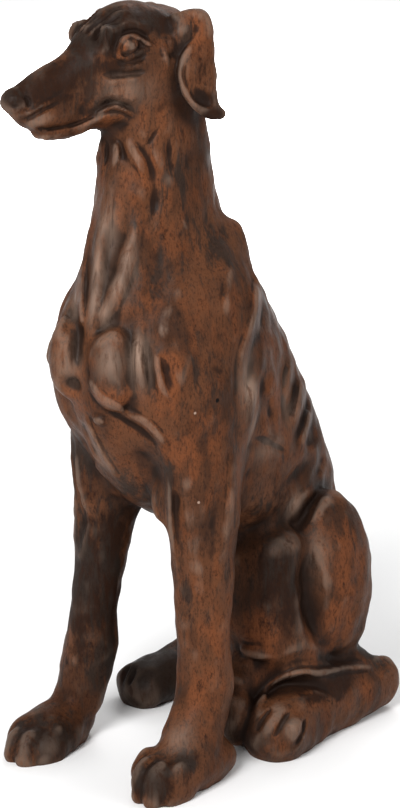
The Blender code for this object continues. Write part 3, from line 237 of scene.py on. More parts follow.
# Pale patches where the patina wears, also standing in as painted highlight on the lit cords, folds and
# knuckles.
RUB_AND_HIGHLIGHT_PATCHES = (
    # Cords of the neck and breast.
    (0.004, 0.006, 0.570, 0.010, 0.030, 0.8),
    (0.003, -0.008, 0.532, 0.009, 0.026, 1.0),
    (0.007, -0.016, 0.498, 0.008, 0.022, 1.0),
    (0.032, 0.005, 0.544, 0.009, 0.026, 0.9),
    (0.029, -0.006, 0.516, 0.009, 0.018, 1.0),
    (0.020, -0.016, 0.490, 0.009, 0.014, 0.9),
    (0.042, -0.030, 0.447, 0.014, 0.020, 0.8),
    (0.059, -0.007, 0.452, 0.010, 0.028, 1.3),
    (-0.017, -0.032, 0.434, 0.014, 0.024, 0.6),
    (-0.031, -0.004, 0.493, 0.012, 0.030, 0.6),
    # Cheek, elbow fold, flank, thigh and keel.
    (0.025, 0.011, 0.699, 0.026, 0.014, 0.5),
    (0.099, 0.111, 0.402, 0.015, 0.032, 1.1),
    (0.094, 0.120, 0.363, 0.014, 0.024, 0.8),
    (0.081, 0.160, 0.328, 0.022, 0.012, 0.6),
    (0.070, 0.198, 0.369, 0.012, 0.030, 0.5),
    (0.074, 0.213, 0.253, 0.012, 0.014, 0.8),
    (0.099, 0.222, 0.207, 0.012, 0.030, 0.5),
    (-0.008, 0.007, 0.334, 0.014, 0.024, 0.5),
    # Knuckles of the feet, and the wrist.
    (0.132, 0.141, 0.043, 0.010, 0.010, 0.7),
    (0.095, -0.026, 0.038, 0.007, 0.016, 0.7),
    (-0.058, -0.023, 0.020, 0.010, 0.010, 0.6),
    (0.089, 0.013, 0.060, 0.016, 0.014, 0.5),
)
# A black spot in the upper arm, painted shade for a small pit that is not carved, and two pale flecks:
# the middle and the radius of each.
PIT = ((0.103, 0.055, 0.403), 0.0024)
FLECKS = (((0.094, 0.033, 0.393), 0.0014), ((0.095, 0.037, 0.302), 0.0014))
SHEEN = 0.065

FLOOR_SIZE = 60.0
FLOOR_GREY = (0.92, 0.92, 0.92, 1.0)
FLOOR_ROUGHNESS = 0.8
WORLD_WHITE = (1.0, 1.0, 1.0, 1.0)
WORLD_LIGHT = 0.46
# The lights round the dog: azimuth, elevation, distance, size and power.
SOFTBOXES = {
    "key_light": (18.0, 34.0, 2.4, 1.0, 68.0),
    "fill_light": (104.0, 24.0, 2.6, 1.4, 15.0),
    "back_light": (200.0, 45.0, 2.6, 1.4, 15.0),
}
# The light right above the floor behind the dog, which keeps it pale, and how wide its beam is.
BACKDROP_LIGHT = (0.0, 90.0, 3.5, 3.0, 450.0)
BACKDROP_DISTANCE = 5.5
BACKDROP_SPREAD = 115.0


def turned(degrees):
    return np.array(Euler([math.radians(angle) for angle in degrees]).to_matrix())


class Frame:
    """A place and a turn for one side of a part: x outwards, y backwards and z up. The side is 1 on
    the dog's left and -1 on its right, where x is mirrored. Strokes are pressed in along press."""

    def __init__(self, side, press, origin=(0.0, 0.0, 0.0), turn=(0.0, 0.0, 0.0)):
        self.side = side
        self.press = self.mirrored(press)
        self.origin = np.array(origin, float)
        self.axes = turned(turn)

    def mirrored(self, point):
        return (self.side * point[0], *point[1:])

    def out(self, point):
        return self.origin + self.axes @ np.array(self.mirrored(point), float)

    def moved(self, inward, back):
        """The same frame, moved towards the middle of the dog and back."""
        place = copy.copy(self)
        place.origin = self.origin + (-self.side * inward, back, 0.0)
        return place


# The left frames also hold what lies in the middle, or on one side only, with x to the dog's left.
BODY = Frame(1, QUARTER)
BODY_RIGHT = Frame(-1, QUARTER)
BODY_SIDES = (BODY, BODY_RIGHT)
HEAD = Frame(1, FACE_QUARTER, HEAD_PLACE, HEAD_TURN)
HEAD_RIGHT = Frame(-1, FACE_QUARTER, HEAD_PLACE, HEAD_TURN)
HEAD_SIDES = (HEAD, HEAD_RIGHT)


class Lump:
    """One change to the clay: the box it acts in, and the change to the field there."""

    def __init__(self, low, high, change):
        self.low = np.array(low, float)
        self.high = np.array(high, float)
        self.change = change

    def press(self, points, field):
        inside = ((points > self.low) & (points < self.high)).all(axis=1)
        index = np.flatnonzero(inside)
        if len(index):
            field[index] = self.change(points[index], field[index])


def smooth_union(field, lump, blend):
    overlap = np.maximum(blend - np.abs(field - lump), 0.0)
    return np.minimum(field, lump) - overlap * overlap / (4.0 * blend)


def oval(local, radii):
    """About the distance to an ellipse or an ellipsoid."""
    near = np.sqrt(((local / radii) ** 2).sum(axis=1))
    slope = np.sqrt(((local / radii**2) ** 2).sum(axis=1))
    return near * (near - 1.0) / np.maximum(slope, TINY)


class Oval:
    """An oval in a frame: its middle, its own axes and its half sizes along them."""

    def __init__(self, place, centre, radii, turn):
        self.centre = place.out(centre)
        self.axes = place.axes @ turned(turn)
        self.radii = np.array(radii, float)

    def local(self, points):
        return (points - self.centre) @ self.axes

    def distance(self, points):
        return oval(self.local(points), self.radii)

    def lump(self, margin, change):
        half = np.sqrt(((self.axes * self.radii) ** 2).sum(axis=1)) + margin
        return Lump(self.centre - half, self.centre + half, change)


def ball(place, centre, radii, turn=(0, 0, 0), blend=0.012):
    """An oval lump, melted into what is there."""
    shape = Oval(place, centre, radii, turn)

    def change(points, field):
        return smooth_union(field, shape.distance(points), blend)

    return shape.lump(blend + REACH, change)


def scoop(place, centre, radii, turn=(0, 0, 0), blend=0.006):
    """An oval hollow."""
    shape = Oval(place, centre, radii, turn)

    def change(points, field):
        return -smooth_union(-field, shape.distance(points), blend)

    return shape.lump(blend, change)


def dent(place, centre, radii, depth, turn=(0, 0, 0)):
    """Lowers the surface gently by depth inside an oval."""
    shape = Oval(place, centre, radii, turn)

    def change(points, field):
        spread = ((shape.local(points) / shape.radii) ** 2).sum(axis=1)
        return field + depth * np.maximum(1.0 - spread, 0.0) ** 2

    return shape.lump(0.0, change)


def smooth_path(rows):
    """Points along the Catmull-Rom curve through the rows."""
    rows = np.array(rows, float)
    ends = np.vstack([2 * rows[0] - rows[1], rows, 2 * rows[-1] - rows[-2]])
    t = np.linspace(0.0, 1.0, SAMPLES_PER_SPAN, endpoint=False)[:, None]
    spans = []
    for a, b, c, d in zip(ends, ends[1:], ends[2:], ends[3:]):
        bend = (2 * a - 5 * b + 4 * c - d) * t**2
        twist = (3 * b - a - 3 * c + d) * t**3
        spans.append(0.5 * (2 * b + (c - a) * t + bend + twist))
    return np.vstack(spans + [rows[-1:]])


def nearest_on_path(points, path):
    """For each point: the span of the path it is nearest to, how far along, and the distance."""
    best = np.full(len(points), np.inf)
    span = np.zeros(len(points), int)
    along = np.zeros(len(points))
    for index, (start, end) in enumerate(zip(path, path[1:])):
        step = end - start
        away = points - start
        t = np.clip(away @ step / max(step @ step, TINY**2), 0.0, 1.0)
        distance = ((away - t[:, None] * step) ** 2).sum(axis=1)
        closer = distance < best
        best[closer] = distance[closer]
        span[closer] = index
        along[closer] = t[closer]
    return span, along, np.sqrt(best)


def limb(place, stations, across=SIDEWAYS, blend=0.012):
    """A round-ended tube. Each station is its centre and its half sizes across and through."""
    path = smooth_path([(*place.out(row[:3]), row[3], row[4]) for row in stations])
    run = np.gradient(path[:, :3], axis=0)
    run /= np.linalg.norm(run, axis=1)[:, None]
    across = place.axes @ np.array(across, float)
    across = across - (run @ across)[:, None] * run
    across /= np.linalg.norm(across, axis=1)[:, None]
    table = np.hstack([path, run, across, np.cross(run, across)])

    def change(points, field):
        span, along, _ = nearest_on_path(points, path[:, :3])
        here = table[span] + along[:, None] * (table[span + 1] - table[span])
        away = points - here[:, :3]
        local = [(away * here[:, first:first + 3]).sum(axis=1) for first in (8, 11, 5)]
        sizes = [here[:, 3], here[:, 4], np.minimum(here[:, 3], here[:, 4])]
        return smooth_union(field, oval(np.stack(local, axis=1), np.stack(sizes, axis=1)), blend)

    margin = path[:, 3:5].max() + blend + REACH
    return Lump(path[:, :3].min(axis=0) - margin, path[:, :3].max(axis=0) + margin, change)


def column(profile, widest, blend=0.012):
    """An upright body from rows of height, front, back and half width. Its section at each height is
    an egg whose widest place is that share of the way back."""
    rows = smooth_path(profile)
    heights = rows[:, 0]

    def section(points, rise):
        front, back, half = (np.interp(points[:, 2] + rise, heights, rows[:, i]) for i in (1, 2, 3))
        middle = front + widest * (back - front)
        y = points[:, 1] - middle
        depth = np.where(y < 0, middle - front, back - middle)
        return oval(np.stack([points[:, 0], y], axis=1), np.stack([half, depth], axis=1))

    def change(points, field):
        lean = (section(points, PROBE) - section(points, -PROBE)) / (2 * PROBE)
        wall = section(points, 0.0) / np.sqrt(1.0 + lean**2)
        lid = np.maximum(heights[0] - points[:, 2], points[:, 2] - heights[-1])
        return smooth_union(field, np.maximum(wall, lid), blend)

    margin = blend + REACH
    low = (-rows[:, 3].max() - margin, rows[:, 1].min() - margin, heights[0] - margin)
    high = (rows[:, 3].max() + margin, rows[:, 2].max() + margin, heights[-1] + margin)
    return Lump(low, high, change)


def groove(place, width, depth, *route, press=None, reach=0.030, fade=0.4):
    """A groove along a route near the surface, seen along press, which is the frame's unless given.
    It narrows and fades out at both ends, over a share of its length."""
    path = smooth_path([place.out(point) for point in route])
    press = place.axes @ np.array(press or place.press, float)
    press /= np.linalg.norm(press)
    levels = path @ press
    flat = path - levels[:, None] * press
    length = np.concatenate([[0.0], np.cumsum(np.linalg.norm(np.diff(flat, axis=0), axis=1))])

    def change(points, field):
        level = points @ press
        span, along, distance = nearest_on_path(points - level[:, None] * press, flat)
        run = (length[span] + along * (length[span + 1] - length[span])) / length[-1]
        ends = np.clip(np.minimum(run, 1.0 - run) / fade, 0.0, 1.0)
        ends *= ends * (3.0 - 2.0 * ends)
        away = np.abs(level - levels[span] - along * (levels[span + 1] - levels[span]))
        layer = np.clip(1.0 - (away - FULL_REACH * reach) / (reach - FULL_REACH * reach), 0.0, 1.0)
        here = width * (NARROWEST + (1.0 - NARROWEST) * ends)
        across = np.maximum(1.0 - (distance / here) ** 2, 0.0) ** 2
        return field + depth * ends * across * layer

    margin = width + reach * np.abs(press)
    return Lump(path.min(axis=0) - margin, path.max(axis=0) + margin, change)


def ridge(place, width, height, *route, **more):
    return groove(place, width, -height, *route, **more)


def clay_field(lumps, points):
    field = np.full(len(points), FAR)
    for lump in lumps:
        lump.press(points, field)
    return field


def sampled(lumps, low, high, cell):
    """The field on a regular grid, worked out in full only near the surface."""
    block = cell * CELLS_PER_BLOCK
    counts = np.ceil((np.array(high) - low) / block).astype(int)
    axes = [low[i] + block * (np.arange(counts[i]) + 0.5) for i in range(3)]
    centres = np.stack(np.meshgrid(*axes, indexing="ij"), axis=-1).reshape(-1, 3)
    rough = clay_field(lumps, centres)
    near = np.flatnonzero(np.abs(rough) < NEAR_BLOCKS * block)
    blocks = np.repeat(rough.astype(np.float32)[:, None], CELLS_PER_BLOCK**3, axis=1)
    steps = (np.arange(CELLS_PER_BLOCK) + 0.5) * cell - block / 2
    inner = np.stack(np.meshgrid(steps, steps, steps, indexing="ij"), axis=-1).reshape(-1, 3)
    points = (centres[near][:, None, :] + inner).reshape(-1, 3)
    blocks[near] = clay_field(lumps, points).reshape(len(near), -1)
    grid = blocks.reshape(*counts, CELLS_PER_BLOCK, CELLS_PER_BLOCK, CELLS_PER_BLOCK)
    return grid.transpose(0, 3, 1, 4, 2, 5).reshape(counts * CELLS_PER_BLOCK)


def skin(lumps, low, high, cell):
    """Points and four-sided faces of the surface of the clay."""
    grid = openvdb.FloatGrid(FAR)
    grid.copyFromArray(np.ascontiguousarray(sampled(lumps, low, high, cell)))
    points, _, quads = grid.convertToPolygons(0.0)
    return points * cell + (np.array(low) + cell / 2), quads


# ---------------------------------------------------------------- the dog


def trunk():
    """Rump, chest and neck, with the shoulder masses and the withers."""
    profile = (
        (-0.030, 0.225, RUMP_BACK - 0.007, 0.064),
        (0.050, 0.225, RUMP_BACK, 0.068),
        (0.125, 0.215, RUMP_BACK + 0.004, 0.068),
        (0.180, 0.197, RUMP_BACK + 0.002, 0.066),
        (0.216, 0.164, RUMP_BACK - 0.007, 0.064),
        (0.245, 0.108, 0.344, 0.067),
        (0.267, 0.066, 0.339, 0.073),
        (0.296, 0.030, 0.324, 0.078),
        (0.350, -0.002, 0.297, 0.084),
        (CHEST_HEIGHT, -0.022, 0.264, CHEST_HALF_WIDTH),
        (0.443, -0.026, 0.238, 0.086),
        (0.492, -0.014, 0.206, 0.079),
        (0.549, 0.003, 0.168, 0.059),
        (0.598, 0.0135, 0.147, 0.050),
        (0.655, 0.021, 0.139, NECK_HALF_WIDTH),
        (0.720, 0.026, 0.118, 0.040),
    )
    lumps = [column(profile, widest=0.45)]
    for body in BODY_SIDES:
        lumps += [
            ball(body, (0.050, 0.088, 0.432), (0.041, 0.060, 0.100), (-20, 0, 0), 0.03),
            ball(body, (0.058, 0.036, 0.415), (0.034, 0.036, 0.064), blend=0.02),
            ball(body, (0.047, 0.042, 0.462), (0.022, 0.026, 0.046), blend=0.02),
            ball(body, (0.036, 0.130, 0.519), (0.022, 0.034, 0.046), (-26, 0, 0), 0.012),
        ]
    return lumps


def neck():
    """The cords that run down from the jaw and close on the breastbone, and the hollows between them."""
    right_cord = ridge(
        BODY, 0.011, 0.006, (0.003, 0.018, 0.636), (-0.002, 0.015, 0.602), (-0.003, 0.005, 0.564),
        (0.002, -0.007, 0.522), (0.008, -0.018, 0.486), (0.008, -0.027, 0.458))
    left_cord = ridge(
        BODY, 0.011, 0.006, (0.034, 0.024, 0.59), (0.031, 0.004, 0.534), (0.027, -0.008, 0.506),
        (0.021, -0.019, 0.483), (0.009, -0.027, 0.458))
    between = groove(
        BODY, 0.015, 0.005, (0.008, 0.023, 0.587), (0.008, 0.015, 0.554), (0.008, 0.004, 0.522),
        (0.012, -0.011, 0.492))
    side_hollow = groove(
        BODY, 0.009, 0.0025, (-0.024, 0.014, 0.56), (-0.015, 0.002, 0.534), (-0.006, -0.011, 0.508),
        (0.004, -0.025, 0.474))
    side_cord = ridge(
        BODY, 0.005, 0.003, (-0.034, 0.014, 0.536), (-0.024, 0.0, 0.51), (-0.014, -0.013, 0.488),
        (-0.006, -0.022, 0.462))
    far_hollow = groove(
        BODY, 0.01, 0.0025, (-0.041, 0.012, 0.518), (-0.026, -0.008, 0.494), (-0.018, -0.02, 0.462))
    throat_crack = groove(
        BODY, 0.0035, 0.003, (-0.012, 0.02, 0.655), (-0.006, 0.018, 0.64), (-0.008, 0.015, 0.62))
    throat_cord = ridge(
        BODY, 0.006, 0.003, (0.0, 0.018, 0.654), (0.006, 0.018, 0.641), (0.0, 0.018, 0.618))
    throat_hollow = groove(
        BODY, 0.006, 0.002, (0.007, 0.019, 0.656), (0.012, 0.02, 0.643), (0.016, 0.021, 0.625))
    return [
        right_cord, left_cord, between, side_hollow, side_cord, far_hollow, throat_crack, throat_cord,
        throat_hollow,
    ]


def nape(body):
    """The cords and hollows that run down the side of the neck from the jaw and the ear."""
    jaw_cord = ridge(
        body, 0.008, 0.003, (0.013, 0.02, 0.662), (0.021, 0.024, 0.642), (0.031, 0.028, 0.627),
        (0.037, 0.03, 0.61))
    jaw_hollow = groove(
        body, 0.009, 0.004, (0.024, 0.027, 0.657), (0.03, 0.031, 0.642), (0.037, 0.033, 0.625),
        (0.04, 0.034, 0.605), (0.038, 0.035, 0.585), (0.036, 0.03, 0.562))
    jaw_crease = groove(
        body, 0.005, 0.002, (0.038, 0.044, 0.664), (0.033, 0.035, 0.65), (0.029, 0.031, 0.644))
    ear_hollow = groove(
        body, 0.007, 0.003, (0.042, 0.052, 0.66), (0.043, 0.053, 0.636), (0.046, 0.056, 0.608))
    back_hollow = groove(
        body, 0.016, 0.0025, (0.045, 0.071, 0.655), (0.047, 0.073, 0.625), (0.05, 0.069, 0.585))
    thin_fold = ridge(
        body, 0.004, 0.0015, (0.051, 0.061, 0.58), (0.053, 0.063, 0.569), (0.056, 0.068, 0.558))
    neck_root = groove(
        body, 0.018, 0.004, (0.037, 0.032, 0.565), (0.045, 0.031, 0.532), (0.058, 0.024, 0.503),
        (0.062, 0.013, 0.47))
    shoulder_front = ridge(
        body, 0.013, 0.003, (0.068, 0.032, 0.508), (0.065, 0.022, 0.486), (0.068, 0.012, 0.455))
    return [
        jaw_cord, jaw_hollow, jaw_crease, ear_hollow, back_hollow, thin_fold, neck_root, shoulder_front,
    ]


def breast(body):
    """The oval breast muscle and the cords that fan out beside it towards the point of the shoulder."""
    top = groove(
        body, 0.012, 0.0035, (0.04, -0.004, 0.49), (0.027, -0.014, 0.482), (0.011, -0.026, 0.461))
    edge = groove(
        body, 0.013, 0.004, (0.043, -0.009, 0.47), (0.047, -0.013, 0.442), (0.049, -0.008, 0.41))
    cord = ridge(
        body, 0.009, 0.006, (0.05, 0.004, 0.49), (0.052, -0.001, 0.474), (0.057, -0.006, 0.447),
        (0.061, -0.008, 0.423), (0.063, -0.002, 0.396))
    cord_hollow = groove(
        body, 0.009, 0.004, (0.059, 0.003, 0.466), (0.064, 0.001, 0.439), (0.069, 0.002, 0.414))
    thin_cord = ridge(
        body, 0.007, 0.004, (0.064, 0.006, 0.458), (0.071, 0.007, 0.431), (0.081, 0.006, 0.407))
    thin_hollow = groove(
        body, 0.009, 0.003, (0.069, 0.015, 0.456), (0.08, 0.009, 0.433), (0.087, 0.013, 0.407))
    cleft = groove(
        body, 0.011, 0.003, (0.075, 0.035, 0.486), (0.082, 0.034, 0.465), (0.087, 0.033, 0.445))
    return [
        ball(body, (0.028, -0.011, 0.435), (0.024, 0.024, 0.042), (0, 0, body.side * 20), 0.006),
        top, edge, cord, cord_hollow, thin_cord, thin_hollow, cleft,
    ]


def keel():
    """The notch at the breastbone, the lower edge of the left breast and the ridges under the chest."""
    edge = ridge(
        BODY, 0.007, 0.003, (-0.002, -0.022, 0.43), (0.013, -0.025, 0.417), (0.027, -0.021, 0.403),
        (0.041, -0.011, 0.393), (0.059, -0.003, 0.385), (0.07, 0.005, 0.372), (0.069, 0.017, 0.35),
        (0.067, 0.023, 0.327), fade=0.15)
    under_edge = groove(
        BODY, 0.006, 0.003, (0.02, -0.022, 0.402), (0.041, -0.009, 0.385), (0.058, -0.001, 0.375),
        (0.063, 0.009, 0.361), (0.055, 0.023, 0.338))
    middle = groove(
        BODY, 0.012, 0.006, (-0.012, -0.016, 0.479), (-0.006, -0.025, 0.455), (-0.009, -0.023, 0.427))
    left_ridge = ridge(
        BODY, 0.006, 0.004, (-0.004, -0.021, 0.397), (-0.007, -0.012, 0.369), (-0.003, -0.002, 0.345),
        (0.005, 0.008, 0.323), (0.004, 0.029, 0.298))
    middle_groove = groove(
        BODY, 0.006, 0.004, (-0.013, -0.017, 0.387), (-0.011, -0.014, 0.368), (-0.006, -0.005, 0.347),
        (0.0, 0.003, 0.33))
    right_ridge = ridge(
        BODY, 0.008, 0.004, (-0.05, 0.012, 0.356), (-0.042, 0.012, 0.338), (-0.032, 0.016, 0.32),
        (-0.01, 0.022, 0.304))
    low_groove = groove(
        BODY, 0.009, 0.002, (-0.062, 0.026, 0.33), (-0.05, 0.03, 0.308), (-0.042, 0.036, 0.29))
    far_edge = ridge(
        BODY, 0.006, 0.003, (-0.052, 0.011, 0.491), (-0.048, -0.004, 0.468), (-0.04, -0.022, 0.445))
    far_hollow = groove(
        BODY, 0.009, 0.0025, (-0.033, -0.003, 0.496), (-0.028, -0.015, 0.473), (-0.027, -0.025, 0.449))
    armpit = groove(BODY, 0.014, 0.005, (0.06, 0.014, 0.345), (0.058, 0.024, 0.32), (0.058, 0.03, 0.296))
    return [
        ball(BODY, (-0.026, -0.01, 0.431), (0.017, 0.016, 0.028), blend=0.006),
        dent(BODY, (-0.058, 0.0, 0.398), (0.04, 0.04, 0.05), 0.003),
        middle,
        scoop(BODY, (-0.014, -0.031, 0.413), (0.01, 0.012, 0.009), blend=0.008),
        edge, under_edge,
        ball(BODY, (0.012, -0.013, 0.381), (0.007, 0.007, 0.005), blend=0.004),
        left_ridge, middle_groove, right_ridge, low_groove, far_edge, far_hollow, armpit,
        ball(BODY, (0.046, 0.042, 0.3), (0.012, 0.016, 0.026), blend=0.01),
    ]


def shoulder(body):
    """The shoulder blade with its spine, the fold along its rear edge, the upper arm and the elbow fold."""
    spine = ridge(
        body, 0.008, 0.003, (0.071, 0.111, 0.53), (0.086, 0.091, 0.504), (0.091, 0.083, 0.484),
        (0.092, 0.076, 0.465))
    rear_edge = ridge(
        body, 0.007, 0.004, (0.066, 0.156, 0.508), (0.075, 0.146, 0.486), (0.081, 0.135, 0.466),
        (0.085, 0.12, 0.449), (0.086, 0.111, 0.432), (0.088, 0.107, 0.406), (0.098, 0.093, 0.38),
        reach=0.04, fade=0.15)
    front_groove = groove(
        body, 0.01, 0.002, (0.094, 0.088, 0.462), (0.097, 0.088, 0.436), (0.097, 0.09, 0.411),
        (0.102, 0.081, 0.384))
    rear_groove = groove(
        body, 0.016, 0.0045, (0.066, 0.17, 0.486), (0.084, 0.141, 0.463), (0.09, 0.121, 0.439),
        (0.093, 0.111, 0.411), (0.097, 0.102, 0.375), reach=0.04)
    crease = groove(body, 0.01, 0.002, (0.093, 0.044, 0.44), (0.096, 0.061, 0.431), (0.097, 0.083, 0.426))
    elbow_fold = ridge(
        body, 0.016, 0.008, (0.092, 0.124, 0.425), (0.096, 0.116, 0.391), (0.093, 0.112, 0.361),
        (0.094, 0.105, 0.338))
    fold_groove = groove(
        body, 0.01, 0.003, (0.087, 0.14, 0.435), (0.088, 0.137, 0.405), (0.084, 0.152, 0.376),
        (0.082, 0.168, 0.35), (0.078, 0.19, 0.325))
    return [
        spine, rear_groove, rear_edge, front_groove,
        ball(body, (0.086, 0.06, 0.408), (0.015, 0.028, 0.026)),
        crease, elbow_fold, fold_groove,
    ]


def ribs(body):
    """The hollows and ridges of the ribs, slanting down and forwards, and the drawn-in flank."""
    hollows = (
        ((0.06, 0.21, 0.424), (0.073, 0.192, 0.401), (0.074, 0.185, 0.372), (0.082, 0.166, 0.35)),
        ((0.052, 0.234, 0.404), (0.064, 0.216, 0.388), (0.074, 0.198, 0.365), (0.072, 0.191, 0.333)),
        ((0.046, 0.262, 0.368), (0.056, 0.245, 0.347), (0.064, 0.228, 0.33), (0.069, 0.209, 0.308)),
        ((0.046, 0.276, 0.338), (0.056, 0.258, 0.318), (0.06, 0.238, 0.298)),
    )
    ridges = (
        ((0.056, 0.222, 0.414), (0.068, 0.205, 0.39), (0.076, 0.19, 0.358)),
        ((0.052, 0.246, 0.384), (0.062, 0.228, 0.358), (0.07, 0.208, 0.326)),
        ((0.048, 0.266, 0.35), (0.058, 0.246, 0.33), (0.064, 0.228, 0.308)),
    )
    fold = groove(
        body, 0.008, 0.004, (0.086, 0.124, 0.348), (0.088, 0.142, 0.342), (0.08, 0.171, 0.328),
        (0.07, 0.206, 0.31))
    flank = groove(body, 0.008, 0.003, (0.05, 0.286, 0.3), (0.058, 0.269, 0.28), (0.066, 0.246, 0.266))
    lumps = [groove(body, 0.012, 0.0042, *hollow) for hollow in hollows]
    lumps += [ridge(body, 0.007, 0.004, *rib) for rib in ridges]
    return lumps + [fold, flank, dent(body, (0.074, 0.222, 0.286), (0.03, 0.046, 0.02), 0.007, (20, 0, 0))]


def foreleg(body, stations, back):
    """A straight foreleg, grooved down the front between bone and muscle, with a sharp rear edge.
    What is carved into it is moved back."""
    carved = body.moved(0.0, back)
    front_groove = groove(
        carved, 0.009, 0.004, (0.072, 0.023, 0.346), (0.075, 0.027, 0.318),
        (0.075, 0.031, 0.27), (0.08, 0.034, 0.219), (0.084, 0.036, 0.19))
    front_ridge = ridge(
        carved, 0.006, 0.003, (0.068, 0.021, 0.342), (0.067, 0.025, 0.307),
        (0.067, 0.027, 0.275), (0.068, 0.031, 0.24))
    rear_edge = ridge(
        carved, 0.007, 0.003, (0.103, 0.078, 0.378), (0.104, 0.078, 0.333),
        (0.105, 0.074, 0.298), (0.105, 0.068, 0.26), (0.104, 0.064, 0.22))
    outer_hollow = groove(
        carved, 0.009, 0.0025, (0.101, 0.052, 0.34), (0.102, 0.05, 0.29),
        (0.1, 0.049, 0.241), (0.1, 0.05, 0.17))
    return [limb(body, stations, blend=0.02), front_groove, front_ridge, rear_edge, outer_hollow]


def left_foreleg():
    stations = (
        (0.067, 0.07, 0.37, 0.036, 0.05), (0.072, 0.069, 0.29, 0.033, 0.044),
        (0.075, 0.066, 0.21, 0.029, 0.032), (0.078, 0.063, 0.14, 0.027, 0.028),
        (PAW_X, 0.06, 0.088, 0.028, 0.03), (PAW_X, 0.041, 0.05, 0.029, 0.03),
    )
    paw = front_paw(PAW_X, PAW_Y, heel=(0.004, 0.036), rise=0.006)
    return foreleg(BODY, stations, 0.0) + paw


def right_foreleg():
    stations = (
        (0.066, 0.082, 0.37, 0.034, 0.05), (0.069, 0.08, 0.29, 0.032, 0.043),
        (0.074, 0.074, 0.215, 0.028, 0.03), (0.077, 0.064, 0.15, 0.024, 0.025),
        (0.082, 0.061, 0.092, 0.029, 0.028), (0.089, 0.052, 0.05, 0.027, 0.025),
    )
    paw = front_paw(RIGHT_PAW_X, RIGHT_PAW_Y, heel=(-0.006, 0.022), rise=-0.004)
    return foreleg(BODY_RIGHT, stations, RIGHT_FORELEG_BACK) + paw


def front_paw(x, y, heel, rise):
    """A paw pointing forward, with four knuckled toes, their nails and the heel pad behind."""
    lumps = [
        ball(BODY, (x, y, 0.019 + rise), (0.031, 0.044, 0.026), (8, 0, 0), 0.016),
        ball(BODY, (x + heel[0], y + heel[1], 0.018), (0.023, 0.043, 0.026), blend=0.022),
    ]
    for across, ahead, size in TOES:
        toe = (x + across, y - ahead, 0.015 + 0.7 * rise)
        nail = (x + across, y - ahead - 0.012, 0.007)
        lumps.append(ball(BODY, toe, (size, 0.023, 0.023 + 0.3 * rise), (18, 0, 0), 0.004))
        lumps.append(ball(BODY, nail, (0.5 * size, 0.011, 0.008), (10, 0, 0), 0.006))
    return lumps


def hind_leg(body):
    """The thigh, the knee and folded shank before it, and the fold of skin from the flank."""
    shank = (
        (0.064, 0.192, 0.204, 0.03, 0.032), (0.068, 0.188, 0.13, 0.032, 0.034),
        (0.08, 0.222, 0.066, 0.034, 0.03), (0.088, 0.29, 0.042, 0.026, 0.026),
    )
    flank_fold = ridge(
        body, 0.01, 0.006, (0.064, 0.208, 0.232), (0.071, 0.216, 0.25),
        (0.071, 0.233, 0.259), (0.063, 0.262, 0.262))
    thigh_crease = groove(
        body, 0.008, 0.006, (0.08, 0.206, 0.221), (0.075, 0.23, 0.241),
        (0.076, 0.248, 0.254), (0.076, 0.272, 0.256))
    knee_groove = groove(
        body, 0.022, 0.007, (0.083, 0.213, 0.217), (0.091, 0.208, 0.182),
        (0.092, 0.214, 0.141), (0.1, 0.211, 0.105))
    thigh_ridge = ridge(
        body, 0.012, 0.003, (0.089, 0.234, 0.235), (0.096, 0.224, 0.206),
        (0.103, 0.227, 0.179), (0.107, 0.233, 0.145))
    return [
        ball(body, (0.07, 0.266, 0.156), (0.045, 0.06, 0.102), (4, 0, 0), 0.006),
        limb(body, shank, blend=0.014),
        flank_fold, thigh_crease, knee_groove, thigh_ridge,
    ]


def hind_foot(body, inward, back):
    """The long foot flat on the ground and the hollow over its hock, drawn in and back with the leg."""
    lower = 0.6 * back
    foot = (
        (0.103 - 0.5 * inward, 0.326, 0.03, 0.021, 0.028),
        (0.097 - 0.3 * inward, 0.26, 0.032, 0.027, 0.038),
        (0.094, 0.207 + 0.3 * back, 0.03 - 0.4 * lower, 0.03, 0.04 - lower),
        (0.096 + 0.2 * inward, 0.157 + 0.3 * back, 0.024 - 0.5 * lower, 0.036 - 0.4 * lower, 0.038 - lower),
    )
    hock_hollow = groove(
        body, 0.01, 0.007, (0.099, 0.288 + back, 0.084), (0.103, 0.303 + back, 0.074),
        (0.107, 0.317 + back, 0.062))
    return [
        limb(body, foot, blend=0.005),
        ball(body, (0.092, 0.3 + back, 0.058), (0.018, 0.022, 0.02), blend=0.012),
        hock_hollow,
    ]


def left_foot_carving():
    """The rim along the top of the foot, the hollows above and below it, and the gaps between the toes."""
    rim = ridge(
        BODY, 0.006, 0.004, (0.116, 0.305, 0.056), (0.11, 0.27, 0.066), (0.112, 0.212, 0.077),
        (0.1, 0.186, 0.081), (0.08, 0.166, 0.067), (0.084, 0.128, 0.045), reach=0.02, fade=0.15)
    above = groove(
        BODY, 0.013, 0.004, (0.073, 0.16, 0.073), (0.089, 0.171, 0.09), (0.105, 0.19, 0.096),
        (0.105, 0.235, 0.082), (0.098, 0.282, 0.071), reach=0.02)
    below = groove(
        BODY, 0.013, 0.0035, (0.088, 0.135, 0.056), (0.092, 0.163, 0.063), (0.105, 0.194, 0.067),
        (0.118, 0.225, 0.05), reach=0.02)
    skin_fold = ridge(
        BODY, 0.004, 0.002, (0.107, 0.183, 0.065), (0.113, 0.202, 0.059), (0.121, 0.228, 0.042),
        reach=0.02)
    gaps = (
        ((0.106, 0.144, 0.059), (0.104, 0.128, 0.048), (0.102, 0.11, 0.03)),
        ((0.12, 0.153, 0.056), (0.121, 0.137, 0.045), (0.122, 0.119, 0.03)),
        ((0.128, 0.168, 0.047), (0.132, 0.155, 0.034), (0.133, 0.143, 0.018)),
    )
    lumps = [
        ball(BODY, (0.126, 0.148, 0.036), (0.009, 0.012, 0.012), blend=0.006),
        above, below, rim, skin_fold,
    ]
    return lumps + [groove(BODY, 0.005, 0.0035, *gap, reach=0.015, fade=0.3) for gap in gaps]


